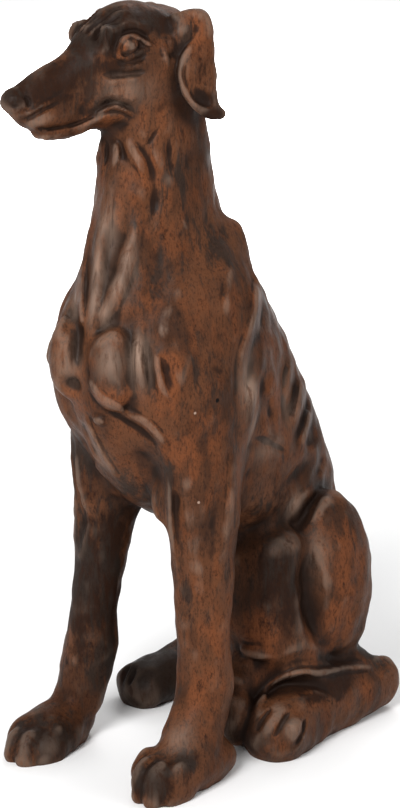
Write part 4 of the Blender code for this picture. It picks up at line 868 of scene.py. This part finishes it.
def right_foot_carving():
    """The gaps between the toes."""
    lumps = []
    for across in (0.088, 0.101, 0.114):
        gap = ((across, 0.16, 0.044), (across, 0.142, 0.037), (across, 0.13, 0.024))
        lumps.append(groove(BODY_RIGHT, 0.0045, 0.003, *gap, reach=0.015))
    return lumps


def groin():
    """The rough mass that fills the hollow between the left shank and the belly, down to the ground."""
    return [
        ball(BODY, (0.046, 0.182, 0.048), (0.034, 0.05, 0.06), blend=0.014),
        ball(BODY, (0.04, 0.19, 0.16), (0.036, 0.045, 0.08), blend=0.014),
        ball(BODY, (0.06, 0.163, 0.122), (0.016, 0.01, 0.008), (0, 0, 20), 0.006),
        ball(BODY, (0.066, 0.16, 0.104), (0.018, 0.009, 0.007), (0, 0, 24), 0.006),
        ball(BODY, (0.055, 0.155, 0.088), (0.01, 0.009, 0.009), blend=0.006),
        ball(BODY, (0.054, 0.142, 0.068), (0.012, 0.01, 0.012), blend=0.008),
        ball(BODY, (0.062, 0.134, 0.036), (0.02, 0.022, 0.03), blend=0.008),
    ]


def tail():
    """The tail, lying on the ground round the right flank."""
    stations = (
        (0.004, 0.345, 0.062, 0.024, 0.024), (-0.012, 0.376, 0.034, 0.02, 0.02),
        (-0.052, 0.386, 0.018, 0.015, 0.017), (-0.098, 0.372, 0.014, 0.013, 0.015),
        (-0.126, 0.334, 0.012, 0.011, 0.013), (-0.134, 0.29, 0.01, 0.008, 0.01),
    )
    return [limb(BODY, stations, across=UPRIGHT)]


def skull():
    """The long head: forehead, braincase, muzzle, its bridge and the lower jaw."""
    muzzle = (
        (0, -0.05, -0.012, 0.032, 0.036), (0, -0.086, -0.016, 0.023, 0.028),
        (0, -0.117, -0.017, 0.018, 0.025), (0, -0.141, -0.02, 0.012, 0.016),
    )
    bridge = (
        (0, -0.05, 0.0115, 0.017, 0.02), (0, -0.097, 0.001, 0.011, 0.012),
        (0, -0.149, -0.009, 0.008, 0.01),
    )
    jaw = (
        (0, -0.03, -0.048, 0.028, 0.021), (0, -0.078, -0.047, 0.019, 0.012),
        (0, -0.112, -0.047, 0.014, 0.012), (0, -0.129, -0.045, 0.009, 0.009),
    )
    return [
        ball(HEAD, (0, 0.008, -0.004), (0.042, 0.05, 0.04), blend=0.02),
        ball(HEAD, (0, -0.02, 0.006), (0.036, 0.052, 0.043), (-4, 0, 0), 0.016),
        limb(HEAD, muzzle, blend=0.02),
        limb(HEAD, bridge),
        limb(HEAD, jaw, blend=0.014),
    ]


def brow(face):
    """The knob over the socket's front corner, the rims of the socket and the furrows up the forehead."""
    front_rim = ridge(
        face, 0.003, 0.0026, (0.026, -0.046, 0.038), (0.031, -0.055, 0.035), (0.035, -0.059, 0.029),
        (0.037, -0.059, 0.022), (0.037, -0.056, 0.015), fade=0.3)
    hollow = groove(
        face, 0.009, 0.003, (0.02, -0.05, 0.039), (0.026, -0.059, 0.034), (0.029, -0.063, 0.026),
        (0.03, -0.061, 0.016), fade=0.4)
    corner_hollow = groove(
        face, 0.005, 0.0022, (0.034, -0.052, 0.0176), (0.035, -0.0486, 0.0264), (0.036, -0.0437, 0.0328),
        fade=0.3)
    top_rim = ridge(
        face, 0.007, 0.0022, (0.036, -0.05, 0.034), (0.038, -0.04, 0.038), (0.039, -0.028, 0.036),
        (0.04, -0.015, 0.028), (0.041, -0.006, 0.017), fade=0.3)
    folds = (
        ((0.003, -0.068, 0.031), (0.003, -0.058, 0.036), (0.005, -0.049, 0.041), (0.009, -0.038, 0.045)),
        (
            (0.012, -0.067, 0.024), (0.012, -0.057, 0.033), (0.013, -0.043, 0.039),
            (0.016, -0.032, 0.043), (0.022, -0.018, 0.043),
        ),
        ((0.024, -0.06, 0.029), (0.021, -0.053, 0.035), (0.021, -0.04, 0.039), (0.026, -0.028, 0.04)),
    )
    furrows = (
        ((0.008, -0.067, 0.027), (0.007, -0.057, 0.035), (0.009, -0.045, 0.042), (0.014, -0.032, 0.046)),
        ((0.018, -0.066, 0.024), (0.017, -0.055, 0.034), (0.018, -0.042, 0.04), (0.022, -0.029, 0.043)),
    )
    lumps = [
        ball(face, (0.026, -0.052, 0.022), (0.01, 0.011, 0.014), blend=0.012),
        hollow, front_rim, corner_hollow, top_rim,
        dent(face, (0.041, -0.004, 0.02), (0.016, 0.018, 0.016), 0.003),
    ]
    lumps += [groove(face, 0.006, 0.0024, *furrow, fade=0.3, press=UPRIGHT) for furrow in furrows]
    return lumps + [ridge(face, 0.003, 0.002, *fold, fade=0.3, press=UPRIGHT) for fold in folds]


def eye(face):
    """The eyeball in its socket and its inner corner, between two lids, with the rim of the iris
    pressed into it."""
    upper_lid = ridge(
        face, 0.0034, 0.0032, (0.033, -0.05, 0.011), (0.035, -0.045, 0.02), (0.036, -0.039, 0.0245),
        (0.037, -0.031, 0.025), (0.038, -0.024, 0.02), (0.039, -0.018, 0.013), (0.04, -0.012, 0.008),
        fade=0.12)
    lid_crease = groove(
        face, 0.0034, 0.002, (0.036, -0.045, 0.028), (0.038, -0.037, 0.031), (0.039, -0.028, 0.03),
        (0.04, -0.02, 0.023), (0.041, -0.014, 0.015), fade=0.25)
    lower_lid = ridge(
        face, 0.0032, 0.0026, (0.033, -0.051, 0.01), (0.0355, -0.045, 0.006), (0.037, -0.037, 0.005),
        (0.038, -0.029, 0.006), (0.039, -0.022, 0.01), fade=0.12)
    bag = groove(
        face, 0.005, 0.002, (0.034, -0.054, 0.005), (0.037, -0.045, -0.001), (0.039, -0.033, -0.001),
        (0.04, -0.02, 0.003), fade=0.25)
    iris = groove(
        face, 0.0018, 0.001, (0.039, -0.038, 0.0185), (0.039, -0.034, 0.02), (0.039, -0.0305, 0.017),
        (0.039, -0.0315, 0.0125), reach=0.006, fade=0.2)
    return [
        scoop(face, (0.045, -0.038, 0.016), (0.013, 0.021, 0.014), blend=0.007),
        ball(face, (0.028, -0.035, 0.0145), (0.011, 0.0125, 0.0105), blend=0.002),
        ball(face, (0.03, -0.047, 0.011), (0.006, 0.006, 0.0045), blend=0.003),
        upper_lid, lid_crease, lower_lid, bag, iris,
    ]


def cheek(face):
    """The cheekbone, the long furrow under it with a thin ridge below, and the round cheek."""
    cheekbone = ridge(
        face, 0.006, 0.0018, (0.035, -0.053, -0.001), (0.038, -0.041, -0.003), (0.041, -0.025, -0.004),
        fade=0.3)
    furrow = groove(
        face, 0.0065, 0.0036, (0.029, -0.073, -0.002), (0.033, -0.062, -0.005), (0.037, -0.048, -0.008),
        (0.04, -0.032, -0.011), (0.041, -0.02, -0.012), fade=0.3)
    thin_ridge = ridge(
        face, 0.0045, 0.002, (0.031, -0.07, -0.011), (0.034, -0.06, -0.013), (0.038, -0.046, -0.015),
        (0.041, -0.028, -0.017), fade=0.3)
    muzzle_creases = (
        ((0.018, -0.122, -0.014), (0.021, -0.112, -0.01), (0.024, -0.1, -0.008)),
        ((0.02, -0.112, -0.016), (0.024, -0.098, -0.014), (0.028, -0.084, -0.014)),
        ((0.022, -0.104, -0.028), (0.026, -0.09, -0.026), (0.029, -0.076, -0.026)),
    )
    lumps = [ball(face, (0.028, -0.022, -0.024), (0.016, 0.04, 0.022)), cheekbone, furrow, thin_ridge]
    for crease in muzzle_creases:
        lumps.append(groove(face, 0.005, 0.001, *crease))
    return lumps


def mouth(face):
    """The lips, drawn back to a dark corner, the edge of the lower jaw and the bumps along its lip."""
    slit = groove(
        face, 0.0032, 0.0026, (0.014, -0.143, -0.034), (0.017, -0.134, -0.038), (0.018, -0.122, -0.041),
        (0.018, -0.11, -0.043), (0.021, -0.096, -0.043), (0.024, -0.084, -0.04), (0.026, -0.075, -0.038),
        reach=0.012, fade=0.15)
    corner = groove(
        face, 0.0055, 0.0034, (0.027, -0.078, -0.033), (0.03, -0.067, -0.03), (0.033, -0.057, -0.032),
        (0.034, -0.048, -0.039), (0.034, -0.042, -0.047), fade=0.3)
    upper_lip = ridge(
        face, 0.0036, 0.0028, (0.023, -0.085, -0.041), (0.027, -0.072, -0.038), (0.03, -0.063, -0.037),
        (0.032, -0.055, -0.041), (0.033, -0.047, -0.048), (0.033, -0.042, -0.053), fade=0.2)
    lower_lip = ridge(
        face, 0.004, 0.0016, (0.016, -0.11, -0.0485), (0.019, -0.095, -0.0475), (0.021, -0.082, -0.046),
        (0.024, -0.068, -0.045), (0.028, -0.056, -0.048), (0.03, -0.046, -0.054), fade=0.2)
    jaw_edge = groove(
        face, 0.005, 0.002, (0.018, -0.096, -0.055), (0.022, -0.083, -0.053), (0.026, -0.069, -0.052),
        (0.029, -0.054, -0.056), (0.031, -0.045, -0.061), fade=0.3)
    lumps = [
        ball(face, (0.011, -0.116, -0.03), (0.011, 0.028, 0.013), blend=0.008),
        slit, corner, upper_lip, lower_lip, jaw_edge,
    ]
    for back, size in ((-0.129, 0.004), (-0.119, 0.0045), (-0.109, 0.004)):
        lumps.append(ball(face, (0.01, back, -0.048), (size, size, 0.004), blend=0.005))
    return lumps


def nose():
    """The nose pad with a wing and a nostril on each side, and the crease under it."""
    wing = (
        (0.007, -0.158, -0.004), (0.01, -0.152, -0.003), (0.0125, -0.147, -0.006),
        (0.013, -0.1445, -0.011), (0.012, -0.146, -0.017),
    )
    wing_groove = ((0.011, -0.142, -0.003), (0.0135, -0.1395, -0.01), (0.0135, -0.142, -0.017))
    nostril = ((0.011, -0.149, -0.01), (0.0105, -0.1525, -0.012), (0.008, -0.157, -0.01))
    lip_crease = (
        (0.008, -0.155, -0.024), (0.013, -0.143, -0.026), (0.016, -0.135, -0.024),
        (0.018, -0.122, -0.021), (0.02, -0.108, -0.018),
    )
    lip_fold = (
        (0.007, -0.154, -0.021), (0.013, -0.143, -0.022), (0.016, -0.135, -0.02),
        (0.018, -0.122, -0.017), (0.02, -0.108, -0.014),
    )
    lumps = [ball(HEAD, (0, -0.151, -0.009), (0.0115, 0.0115, 0.0095), blend=0.004)]
    for face in HEAD_SIDES:
        lumps += [
            ball(face, (0.0065, -0.148, -0.011), (0.006, 0.008, 0.008), blend=0.003),
            groove(face, 0.0034, 0.0024, *wing_groove, fade=0.3),
            ridge(face, 0.0026, 0.0012, *wing, fade=0.2),
            groove(face, 0.0036, 0.0022, *nostril, fade=0.3),
            groove(face, 0.004, 0.0018, *lip_crease, fade=0.3),
            ridge(face, 0.0026, 0.0012, *lip_fold, fade=0.3),
        ]
    return lumps


def ear(face):
    """A folded ear: its broad root, the flap hanging from it and the tip curled out, with the recess
    and the folds of skin before it."""
    flap = (
        (0.034, 0.021, 0.023, 0.008, 0.01), (0.041, 0.039, 0.02, 0.009, 0.01),
        (0.046, 0.041, 0.01, 0.008, 0.01), (0.049, 0.036, -0.002, 0.006, 0.014),
        (0.051, 0.027, -0.016, 0.006, 0.019), (0.052, 0.022, -0.032, 0.006, 0.0205),
        (0.053, 0.022, -0.046, 0.006, 0.0175), (0.055, 0.025, -0.057, 0.006, 0.014),
        (0.056, 0.03, -0.065, 0.006, 0.009), (0.056, 0.036, -0.07, 0.005, 0.005),
    )
    front_edge = ridge(
        face, 0.0048, 0.0026, (0.048, 0.027, 0.003), (0.05, 0.017, -0.004), (0.052, 0.008, -0.011),
        (0.053, 0.003, -0.021), (0.054, 0.002, -0.031), (0.055, 0.004, -0.042), (0.056, 0.009, -0.052),
        (0.057, 0.017, -0.06), (0.057, 0.029, -0.068), reach=0.012, fade=0.1)
    hollow = groove(
        face, 0.01, 0.0034, (0.056, 0.013, -0.031), (0.056, 0.017, -0.046), (0.056, 0.025, -0.057),
        (0.056, 0.031, -0.064), reach=0.012)
    crease = groove(
        face, 0.006, 0.0015, (0.052, 0.034, 0.003), (0.055, 0.026, -0.006), (0.056, 0.019, -0.02),
        reach=0.012)
    recess = groove(
        face, 0.01, 0.002, (0.042, 0.017, 0.021), (0.044, 0.014, 0.01), (0.045, 0.007, 0.0),
        (0.045, 0.0, -0.014))
    skin_folds = (
        ((0.04, -0.001, 0.016), (0.042, -0.002, 0.002), (0.043, -0.003, -0.009), (0.043, -0.005, -0.022)),
        ((0.041, 0.007, 0.016), (0.042, 0.005, 0.005), (0.043, 0.001, -0.006)),
    )
    lumps = [
        recess,
        ball(face, (0.04, 0.024, 0.004), (0.01, 0.014, 0.024), blend=0.008),
        limb(face, flap, blend=0.004),
        front_edge, hollow, crease,
    ]
    return lumps + [ridge(face, 0.0042, 0.002, *fold) for fold in skin_folds]


def dog_clay():
    """Every change to the clay, in the order in which it is made."""
    lumps = trunk() + neck()
    for body in BODY_SIDES:
        lumps += nape(body) + breast(body) + shoulder(body) + ribs(body)
    lumps += keel() + left_foreleg() + right_foreleg()
    lumps += hind_leg(BODY) + hind_leg(BODY_RIGHT.moved(*RIGHT_HAUNCH)) + groin()
    lumps += hind_foot(BODY, 0.0, 0.0) + left_foot_carving()
    lumps += hind_foot(BODY_RIGHT, *RIGHT_HAUNCH) + right_foot_carving() + tail() + skull()
    for face in HEAD_SIDES:
        lumps += brow(face) + cheek(face) + mouth(face) + eye(face)
    lumps += nose()
    for face in HEAD_SIDES:
        lumps += ear(face)
    return lumps


# ---------------------------------------------------------------- the cast


def field_slope(lumps, points, field):
    """The direction in which the field grows, by small steps along each axis."""
    slope = np.empty_like(points)
    for axis in range(3):
        step = np.zeros(3)
        step[axis] = SLOPE_STEP
        slope[:, axis] = (clay_field(lumps, points + step) - field) / SLOPE_STEP
    return slope


def relaxed(shape, points):
    """Moves points part of the way towards the middle of their neighbours."""
    ends = np.array([[vertex.index for vertex in edge.verts] for edge in shape.edges])
    total = np.zeros_like(points)
    count = np.zeros(len(points))
    for first, second in ((0, 1), (1, 0)):
        np.add.at(total, ends[:, first], points[ends[:, second]])
        np.add.at(count, ends[:, first], 1.0)
    return points + RELAXED_SHARE * (total / count[:, None] - points)


def settled(lumps, points):
    """Moves points onto the surface of the clay, in two rounds."""
    for _ in range(2):
        field = clay_field(lumps, points)
        slope = field_slope(lumps, points, field)
        size = np.maximum((slope**2).sum(axis=1), GENTLEST_SLOPE**2)
        move = -slope * (field / size)[:, None]
        length = np.linalg.norm(move, axis=1)
        share = np.minimum(length, LONGEST_MOVE) / np.maximum(length, TINY)
        points = points + move * share[:, None]
    return points


def places_of(vertices):
    return np.array([vertex.co for vertex in vertices])


def place_vertices(shape, places):
    for vertex, place in zip(shape.verts, places.tolist()):
        vertex.co = place


def refine(shape, lumps, tolerance):
    """Splits the faces whose middles lie further than the tolerance from the surface of the clay."""
    centres = np.array([face.calc_center_median() for face in shape.faces])
    off = np.abs(clay_field(lumps, centres)) > tolerance
    edges = {edge for face, far in zip(shape.faces, off) if far for edge in face.edges}
    bmesh.ops.subdivide_edges(shape, edges=list(edges), cuts=1, use_grid_fill=True)


def islands(shape):
    """The groups of vertices that edges join."""
    waiting = set(shape.verts)
    groups = []
    while waiting:
        reached = [waiting.pop()]
        group = []
        while reached:
            vertex = reached.pop()
            group.append(vertex)
            found = {edge.other_vert(vertex) for edge in vertex.link_edges} & waiting
            waiting -= found
            reached.extend(found)
        groups.append(group)
    return groups


def drop_bubbles(shape):
    """Keeps only the outer skin, without the small sealed hollows left inside, as behind an ear."""
    groups = sorted(islands(shape), key=len)
    for bubble in groups[:-1]:
        bmesh.ops.delete(shape, geom=bubble, context="VERTS")


def cut_at_ground(shape):
    """Cuts the mesh off flat at z = 0, with a crisp rim."""
    everything = shape.verts[:] + shape.edges[:] + shape.faces[:]
    cut = bmesh.ops.bisect_plane(
        shape, geom=everything, plane_co=(0, 0, 0), plane_no=UPRIGHT, clear_inner=True)
    rim = [item for item in cut["geom_cut"] if isinstance(item, bmesh.types.BMEdge)]
    bmesh.ops.edgeloop_fill(shape, edges=rim)
    for edge in rim:
        edge.smooth = False


def hollowness(lumps, points, normals, reach):
    """How far the form rises round each point, as a share of the reach: above zero in hollows and
    below it on ridges."""
    slanting = np.abs(normals[:, 2:]) < STEEP
    across = np.cross(normals, np.where(slanting, UPRIGHT, SIDEWAYS))
    across /= np.maximum(np.linalg.norm(across, axis=1), TINY)[:, None]
    along = np.cross(normals, across)
    total = np.zeros(len(points))
    for side in (across, -across, along, -along):
        total += clay_field(lumps, points + reach * side)
    return -total / (4 * reach)


def shelter(lumps, points, normals):
    """How much the rest of the form closes each point in: none in the open, up to one deep in a gap."""
    total = np.zeros(len(points))
    for step in SHELTER_STEPS:
        total += np.clip(1.0 - clay_field(lumps, points + step * normals) / step, 0.0, 1.0)
    return total / len(SHELTER_STEPS)


def hand_worked():
    """The slight unevenness that hand modelling leaves all over the form, in waves of three lengths."""
    chance = np.random.default_rng(WAVE_SEED)
    waves = []
    for length, height in WAVES:
        ways = chance.normal(size=(WAVES_EACH, 3))
        ways *= 2 * np.pi / length / np.linalg.norm(ways, axis=1)[:, None]
        waves.append((ways.T, chance.uniform(0, 2 * np.pi, WAVES_EACH), height / np.sqrt(WAVES_EACH / 2)))

    def change(points, field):
        for ways, phases, height in waves:
            field = field + height * np.sin(points @ ways + phases).sum(axis=1)
        return field

    return Lump(np.array(BLOCK_LOW), np.array(BLOCK_HIGH), change)


def keep_on_vertices(mesh, name, values):
    attribute = mesh.attributes.new(name, "FLOAT", "POINT")
    attribute.data.foreach_set("value", values.astype(np.float32))


def sculpted():
    """The dog's mesh at full detail, with its hollowness stored on the vertices."""
    lumps = dog_clay() + [hand_worked()]
    points, quads = skin(lumps, BLOCK_LOW, BLOCK_HIGH, CELL)
    mesh = bpy.data.meshes.new("dog_cast")
    mesh.from_pydata(points.tolist(), [], quads.tolist())
    shape = bmesh.new()
    shape.from_mesh(mesh)
    drop_bubbles(shape)
    place_vertices(shape, settled(lumps, places_of(shape.verts)))
    for tolerance in TOLERANCES:
        refine(shape, lumps, tolerance)
        shape.verts.index_update()
        place_vertices(shape, settled(lumps, relaxed(shape, places_of(shape.verts))))
    cut_at_ground(shape)
    shape.normal_update()
    shape.to_mesh(mesh)
    shape.free()
    mesh.shade_smooth()
    places = places_of(mesh.vertices)
    normals = np.array([vertex.normal for vertex in mesh.vertices])
    for name, reach in HOLLOW_REACHES.items():
        keep_on_vertices(mesh, name, hollowness(lumps, places, normals, reach))
    keep_on_vertices(mesh, "shelter", shelter(lumps, places, normals))
    return mesh


def patches(points, places):
    """The strongest of the soft patches at each point."""
    strongest = np.zeros(len(points))
    for x, y, z, across, tall, strength in places:
        away = (points - (x, y, z)) / (across, across, tall)
        strongest = np.maximum(strongest, strength * np.exp(-(away**2).sum(axis=1)))
    return strongest


def mark_patches(mesh):
    places = places_of(mesh.vertices)
    kinds = {"soot_and_shade": SOOT_AND_SHADE_PATCHES, "deep": DEEP_PATCHES, "rust": RUST_PATCHES, "rub_and_highlight": RUB_AND_HIGHLIGHT_PATCHES}
    for name, listed in kinds.items():
        keep_on_vertices(mesh, name, patches(places, listed))


def way_to_cad(mesh):
    """The step that centres the sculpted mesh on the CAD dog, over the same ground."""
    low, high = (np.array(corner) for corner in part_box("dog"))
    places = places_of(mesh.vertices)
    step = (low + high) / 2 - (places.min(axis=0) + places.max(axis=0)) / 2
    step[2] = low[2] - places[:, 2].min()
    return Vector(step)


# ---------------------------------------------------------------- patina


class Paint:
    """A short way to wire a material's nodes."""

    def __init__(self, name):
        self.material = bpy.data.materials.new(name)
        self.material.use_nodes = True
        self.tree = self.material.node_tree
        self.shader = self.tree.nodes["Principled BSDF"]
        self.place = self.node("TexCoord").outputs["Object"]

    def wire(self, source, socket):
        if isinstance(source, bpy.types.NodeSocket):
            self.tree.links.new(source, socket)
        else:
            socket.default_value = source

    def node(self, kind, inputs=None, **settings):
        """A new node with its settings made, and with its inputs wired or set."""
        node = self.tree.nodes.new("ShaderNode" + kind)
        for name, setting in settings.items():
            setattr(node, name, setting)
        for name, source in (inputs or {}).items():
            self.wire(source, node.inputs[name])
        return node

    def stretched(self, sizes):
        """The place with each axis divided by a size, so that a pattern grows that large."""
        return self.node("VectorMath", {0: self.place, 1: sizes}, operation="DIVIDE").outputs[0]

    def noise(self, sizes, detail=4.0, roughness=0.6, distortion=0.0):
        inputs = {
            "Vector": self.stretched(sizes),
            "Scale": 1.0,
            "Detail": detail,
            "Roughness": roughness,
            "Distortion": distortion,
        }
        return self.node("TexNoise", inputs).outputs["Fac"]

    def stored(self, name):
        return self.node("Attribute", attribute_name=name).outputs["Fac"]

    def span(self, value, low, high, to_low=0.0, to_high=1.0):
        """Maps low..high to to_low..to_high, smoothly, and holds it there outside."""
        inputs = {
            "Value": value,
            "From Min": low,
            "From Max": high,
            "To Min": to_low,
            "To Max": to_high,
        }
        return self.node("MapRange", inputs, interpolation_type="SMOOTHSTEP").outputs["Result"]

    def math(self, operation, *values):
        return self.node("Math", dict(enumerate(values)), operation=operation).outputs[0]

    def spot(self, step, middle, radius):
        """One inside a round spot on the moved form, and none outside it."""
        places = {0: self.place, 1: Vector(middle) + step}
        away = self.node("VectorMath", places, operation="DISTANCE").outputs["Value"]
        return self.span(away, 1.2 * radius, 0.7 * radius)

    def mix(self, share, a, b):
        inputs = {"Factor": share, "A": a, "B": b}
        return self.node("Mix", inputs, data_type="RGBA").outputs["Result"]

    def bump(self, height, distance, strength, below=None):
        inputs = {"Strength": strength, "Distance": distance, "Height": height}
        if below is not None:
            inputs["Normal"] = below
        return self.node("Bump", inputs).outputs["Normal"]


def coated(paint, cloudy, streaks, flecks):
    """Rust brown with brighter and darker patches, grey smudges in streaks, and black brown in flecks,
    specks and hollows. The darker patches and the black brown in hollows and between parts are partly
    painted shade."""
    broad = paint.noise((0.060, 0.060, 0.100), detail=5.0)
    specks = paint.noise((0.0022, 0.0022, 0.0050), detail=4.0, roughness=0.7)
    worn = paint.math("MULTIPLY_ADD", paint.stored("rust"), 0.20, cloudy)
    sooty_and_shaded = paint.math("MULTIPLY_ADD", paint.stored("soot_and_shade"), 0.22, streaks)
    deep = paint.math("MULTIPLY_ADD", paint.stored("deep"), 0.40, cloudy)
    # Each coat: its pattern, where it starts and is full, how much it covers then, and its colour.
    coats = (
        (worn, 0.48, 0.70, 0.90, RUST_ORANGE),
        # The deep brown and the grey patches are partly painted shade.
        (deep, 0.56, 0.78, 0.95, DEEP_BROWN),
        (sooty_and_shaded, 0.52, 0.70, 0.85, SOOT_AND_SHADE_GREY),
        (flecks, 0.52, 0.68, 0.60, BLACK_BROWN),
        (specks, 0.48, 0.66, 0.55, BLACK_BROWN),
        # Painted shade: black brown where the rest of the form closes a point in, and in the hollows, where
        # the patina also lies dark.
        (paint.stored("shelter"), 0.12, 0.60, 0.85, BLACK_BROWN),
        (paint.stored("hollow_wide"), 0.03, 0.20, 0.75, BLACK_BROWN),
        (paint.stored("hollow_near"), 0.03, 0.13, 0.75, BLACK_BROWN),
    )
    colour = paint.mix(paint.span(broad, 0.38, 0.60), UMBER, RUST_BROWN)
    for pattern, start, full, cover, coat in coats:
        colour = paint.mix(paint.span(pattern, start, full, 0.0, cover), colour, coat)
    return colour


def rubbed_and_highlit(paint, colour, streaks):
    """Pale where the ridges and the pale patches wear, which is partly painted highlight, and thinner in
    the streaks and in deep patches.
    """
    # The pale on the ridges and patches is partly worn patina and partly painted highlight.
    ridges = paint.span(paint.stored("hollow_wide"), -0.09, -0.28, 0.0, 0.50)
    rub_and_highlight = paint.math("MAXIMUM", ridges, paint.stored("rub_and_highlight"))
    rub_and_highlight = paint.math("MULTIPLY", rub_and_highlight, paint.span(streaks, 0.34, 0.54, 0.25, 1.0))
    rub_and_highlight = paint.math("MULTIPLY", rub_and_highlight, paint.span(paint.stored("deep"), 0.3, 1.2, 1.0, 0.0))
    return paint.mix(paint.math("MULTIPLY", rub_and_highlight, 0.6), colour, PALE_TAN)


def patina(step):
    """Rust brown worn over black brown, smudged grey in streaks, dark in hollows and between parts, which
    is partly painted shade, and pale on the ridges, which is partly painted highlight. The step is how far
    the sculpted places have been moved."""
    paint = Paint("brown_patina")
    cloudy = paint.noise((0.018, 0.018, 0.036), detail=7.0, roughness=0.68)
    streaks = paint.noise((0.010, 0.010, 0.050), detail=7.0, roughness=0.72, distortion=0.4)
    flecks = paint.noise((0.0045, 0.0045, 0.009), detail=5.0, roughness=0.75)
    grain = paint.noise((0.0016, 0.0016, 0.0024), detail=3.0)

    colour = rubbed_and_highlit(paint, coated(paint, cloudy, streaks, flecks), streaks)
    # Painted shade: a black spot for the small pit in the upper arm.
    colour = paint.mix(paint.spot(step, *PIT), colour, PIT_BLACK)
    for fleck in FLECKS:
        colour = paint.mix(paint.spot(step, *fleck), colour, PALE_TAN)
    paint.wire(colour, paint.shader.inputs["Base Color"])

    paint.wire(paint.span(cloudy, 0.35, 0.65, 0.38, 0.58), paint.shader.inputs["Roughness"])
    paint.shader.inputs["Specular IOR Level"].default_value = SHEEN
    normal = paint.bump(cloudy, 0.0012, 0.35)
    normal = paint.bump(flecks, 0.0008, 0.40, below=normal)
    normal = paint.bump(grain, 0.00015, 0.5, below=normal)
    paint.wire(normal, paint.shader.inputs["Normal"])
    return paint.material


# ---------------------------------------------------------------- stage


def studio_floor():
    bpy.ops.mesh.primitive_plane_add(size=FLOOR_SIZE, location=(0.0, 0.0, 0.0))
    floor = bpy.context.object
    floor.name = "floor"
    material = bpy.data.materials.new("floor_grey")
    material.use_nodes = True
    shader = material.node_tree.nodes["Principled BSDF"]
    shader.inputs["Base Color"].default_value = FLOOR_GREY
    shader.inputs["Roughness"].default_value = FLOOR_ROUGHNESS
    floor.data.materials.append(material)


def seen_from(target, azimuth, elevation, distance):
    """A place at that distance from the target. Azimuth 0 is in front, and it grows towards the left."""
    turn, rise = math.radians(azimuth), math.radians(elevation)
    way = Vector((math.sin(turn) * math.cos(rise), -math.cos(turn) * math.cos(rise), math.sin(rise)))
    return Vector(target) + distance * way


def aim(obj, target):
    obj.rotation_euler = (Vector(target) - obj.location).to_track_quat("-Z", "Y").to_euler()


def softbox(name, target, azimuth, elevation, distance, size, power, spread=180.0):
    """A round soft light, aimed at the target and not seen by the camera."""
    light = bpy.data.lights.new(name, "AREA")
    light.spread = math.radians(spread)
    light.shape = "DISK"
    light.size = size
    light.energy = power
    obj = bpy.data.objects.new(name, light)
    obj.visible_camera = False
    bpy.context.scene.collection.objects.link(obj)
    obj.location = seen_from(target, azimuth, elevation, distance)
    aim(obj, target)


def studio_lights(target):
    for name, setting in SOFTBOXES.items():
        softbox(name, target, *setting)
    behind = seen_from((target.x, target.y, 0.0), VIEW_AZIMUTH + 180.0, 0.0, BACKDROP_DISTANCE)
    softbox("backdrop_light", behind, *BACKDROP_LIGHT, spread=BACKDROP_SPREAD)
    world = bpy.data.worlds.new("studio")
    world.use_nodes = True
    background = world.node_tree.nodes["Background"]
    background.inputs["Color"].default_value = WORLD_WHITE
    background.inputs["Strength"].default_value = WORLD_LIGHT
    bpy.context.scene.world = world


def photo_camera(target):
    camera = bpy.data.cameras.new("photo_camera")
    camera.lens = LENS_MM
    camera.sensor_width = SENSOR_MM
    obj = bpy.data.objects.new("photo_camera", camera)
    bpy.context.scene.collection.objects.link(obj)
    obj.location = seen_from(target, VIEW_AZIMUTH, VIEW_ELEVATION, VIEW_DISTANCE)
    aim(obj, target)
    bpy.context.scene.camera = obj


def main():
    mesh = sculpted()
    mark_patches(mesh)
    step = way_to_cad(mesh)
    for vertex in mesh.vertices:
        vertex.co += step
    mesh.materials.append(patina(step))
    dog = bpy.data.objects.new("dog_cast", mesh)
    bpy.context.scene.collection.objects.link(dog)
    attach(dog, "root")
    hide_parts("dog")

    target = Vector(VIEW_TARGET) + Vector((step.x, step.y, 0.0))
    studio_floor()
    studio_lights(target)
    photo_camera(target)
    bpy.context.scene.view_settings.view_transform = "Standard"


main()
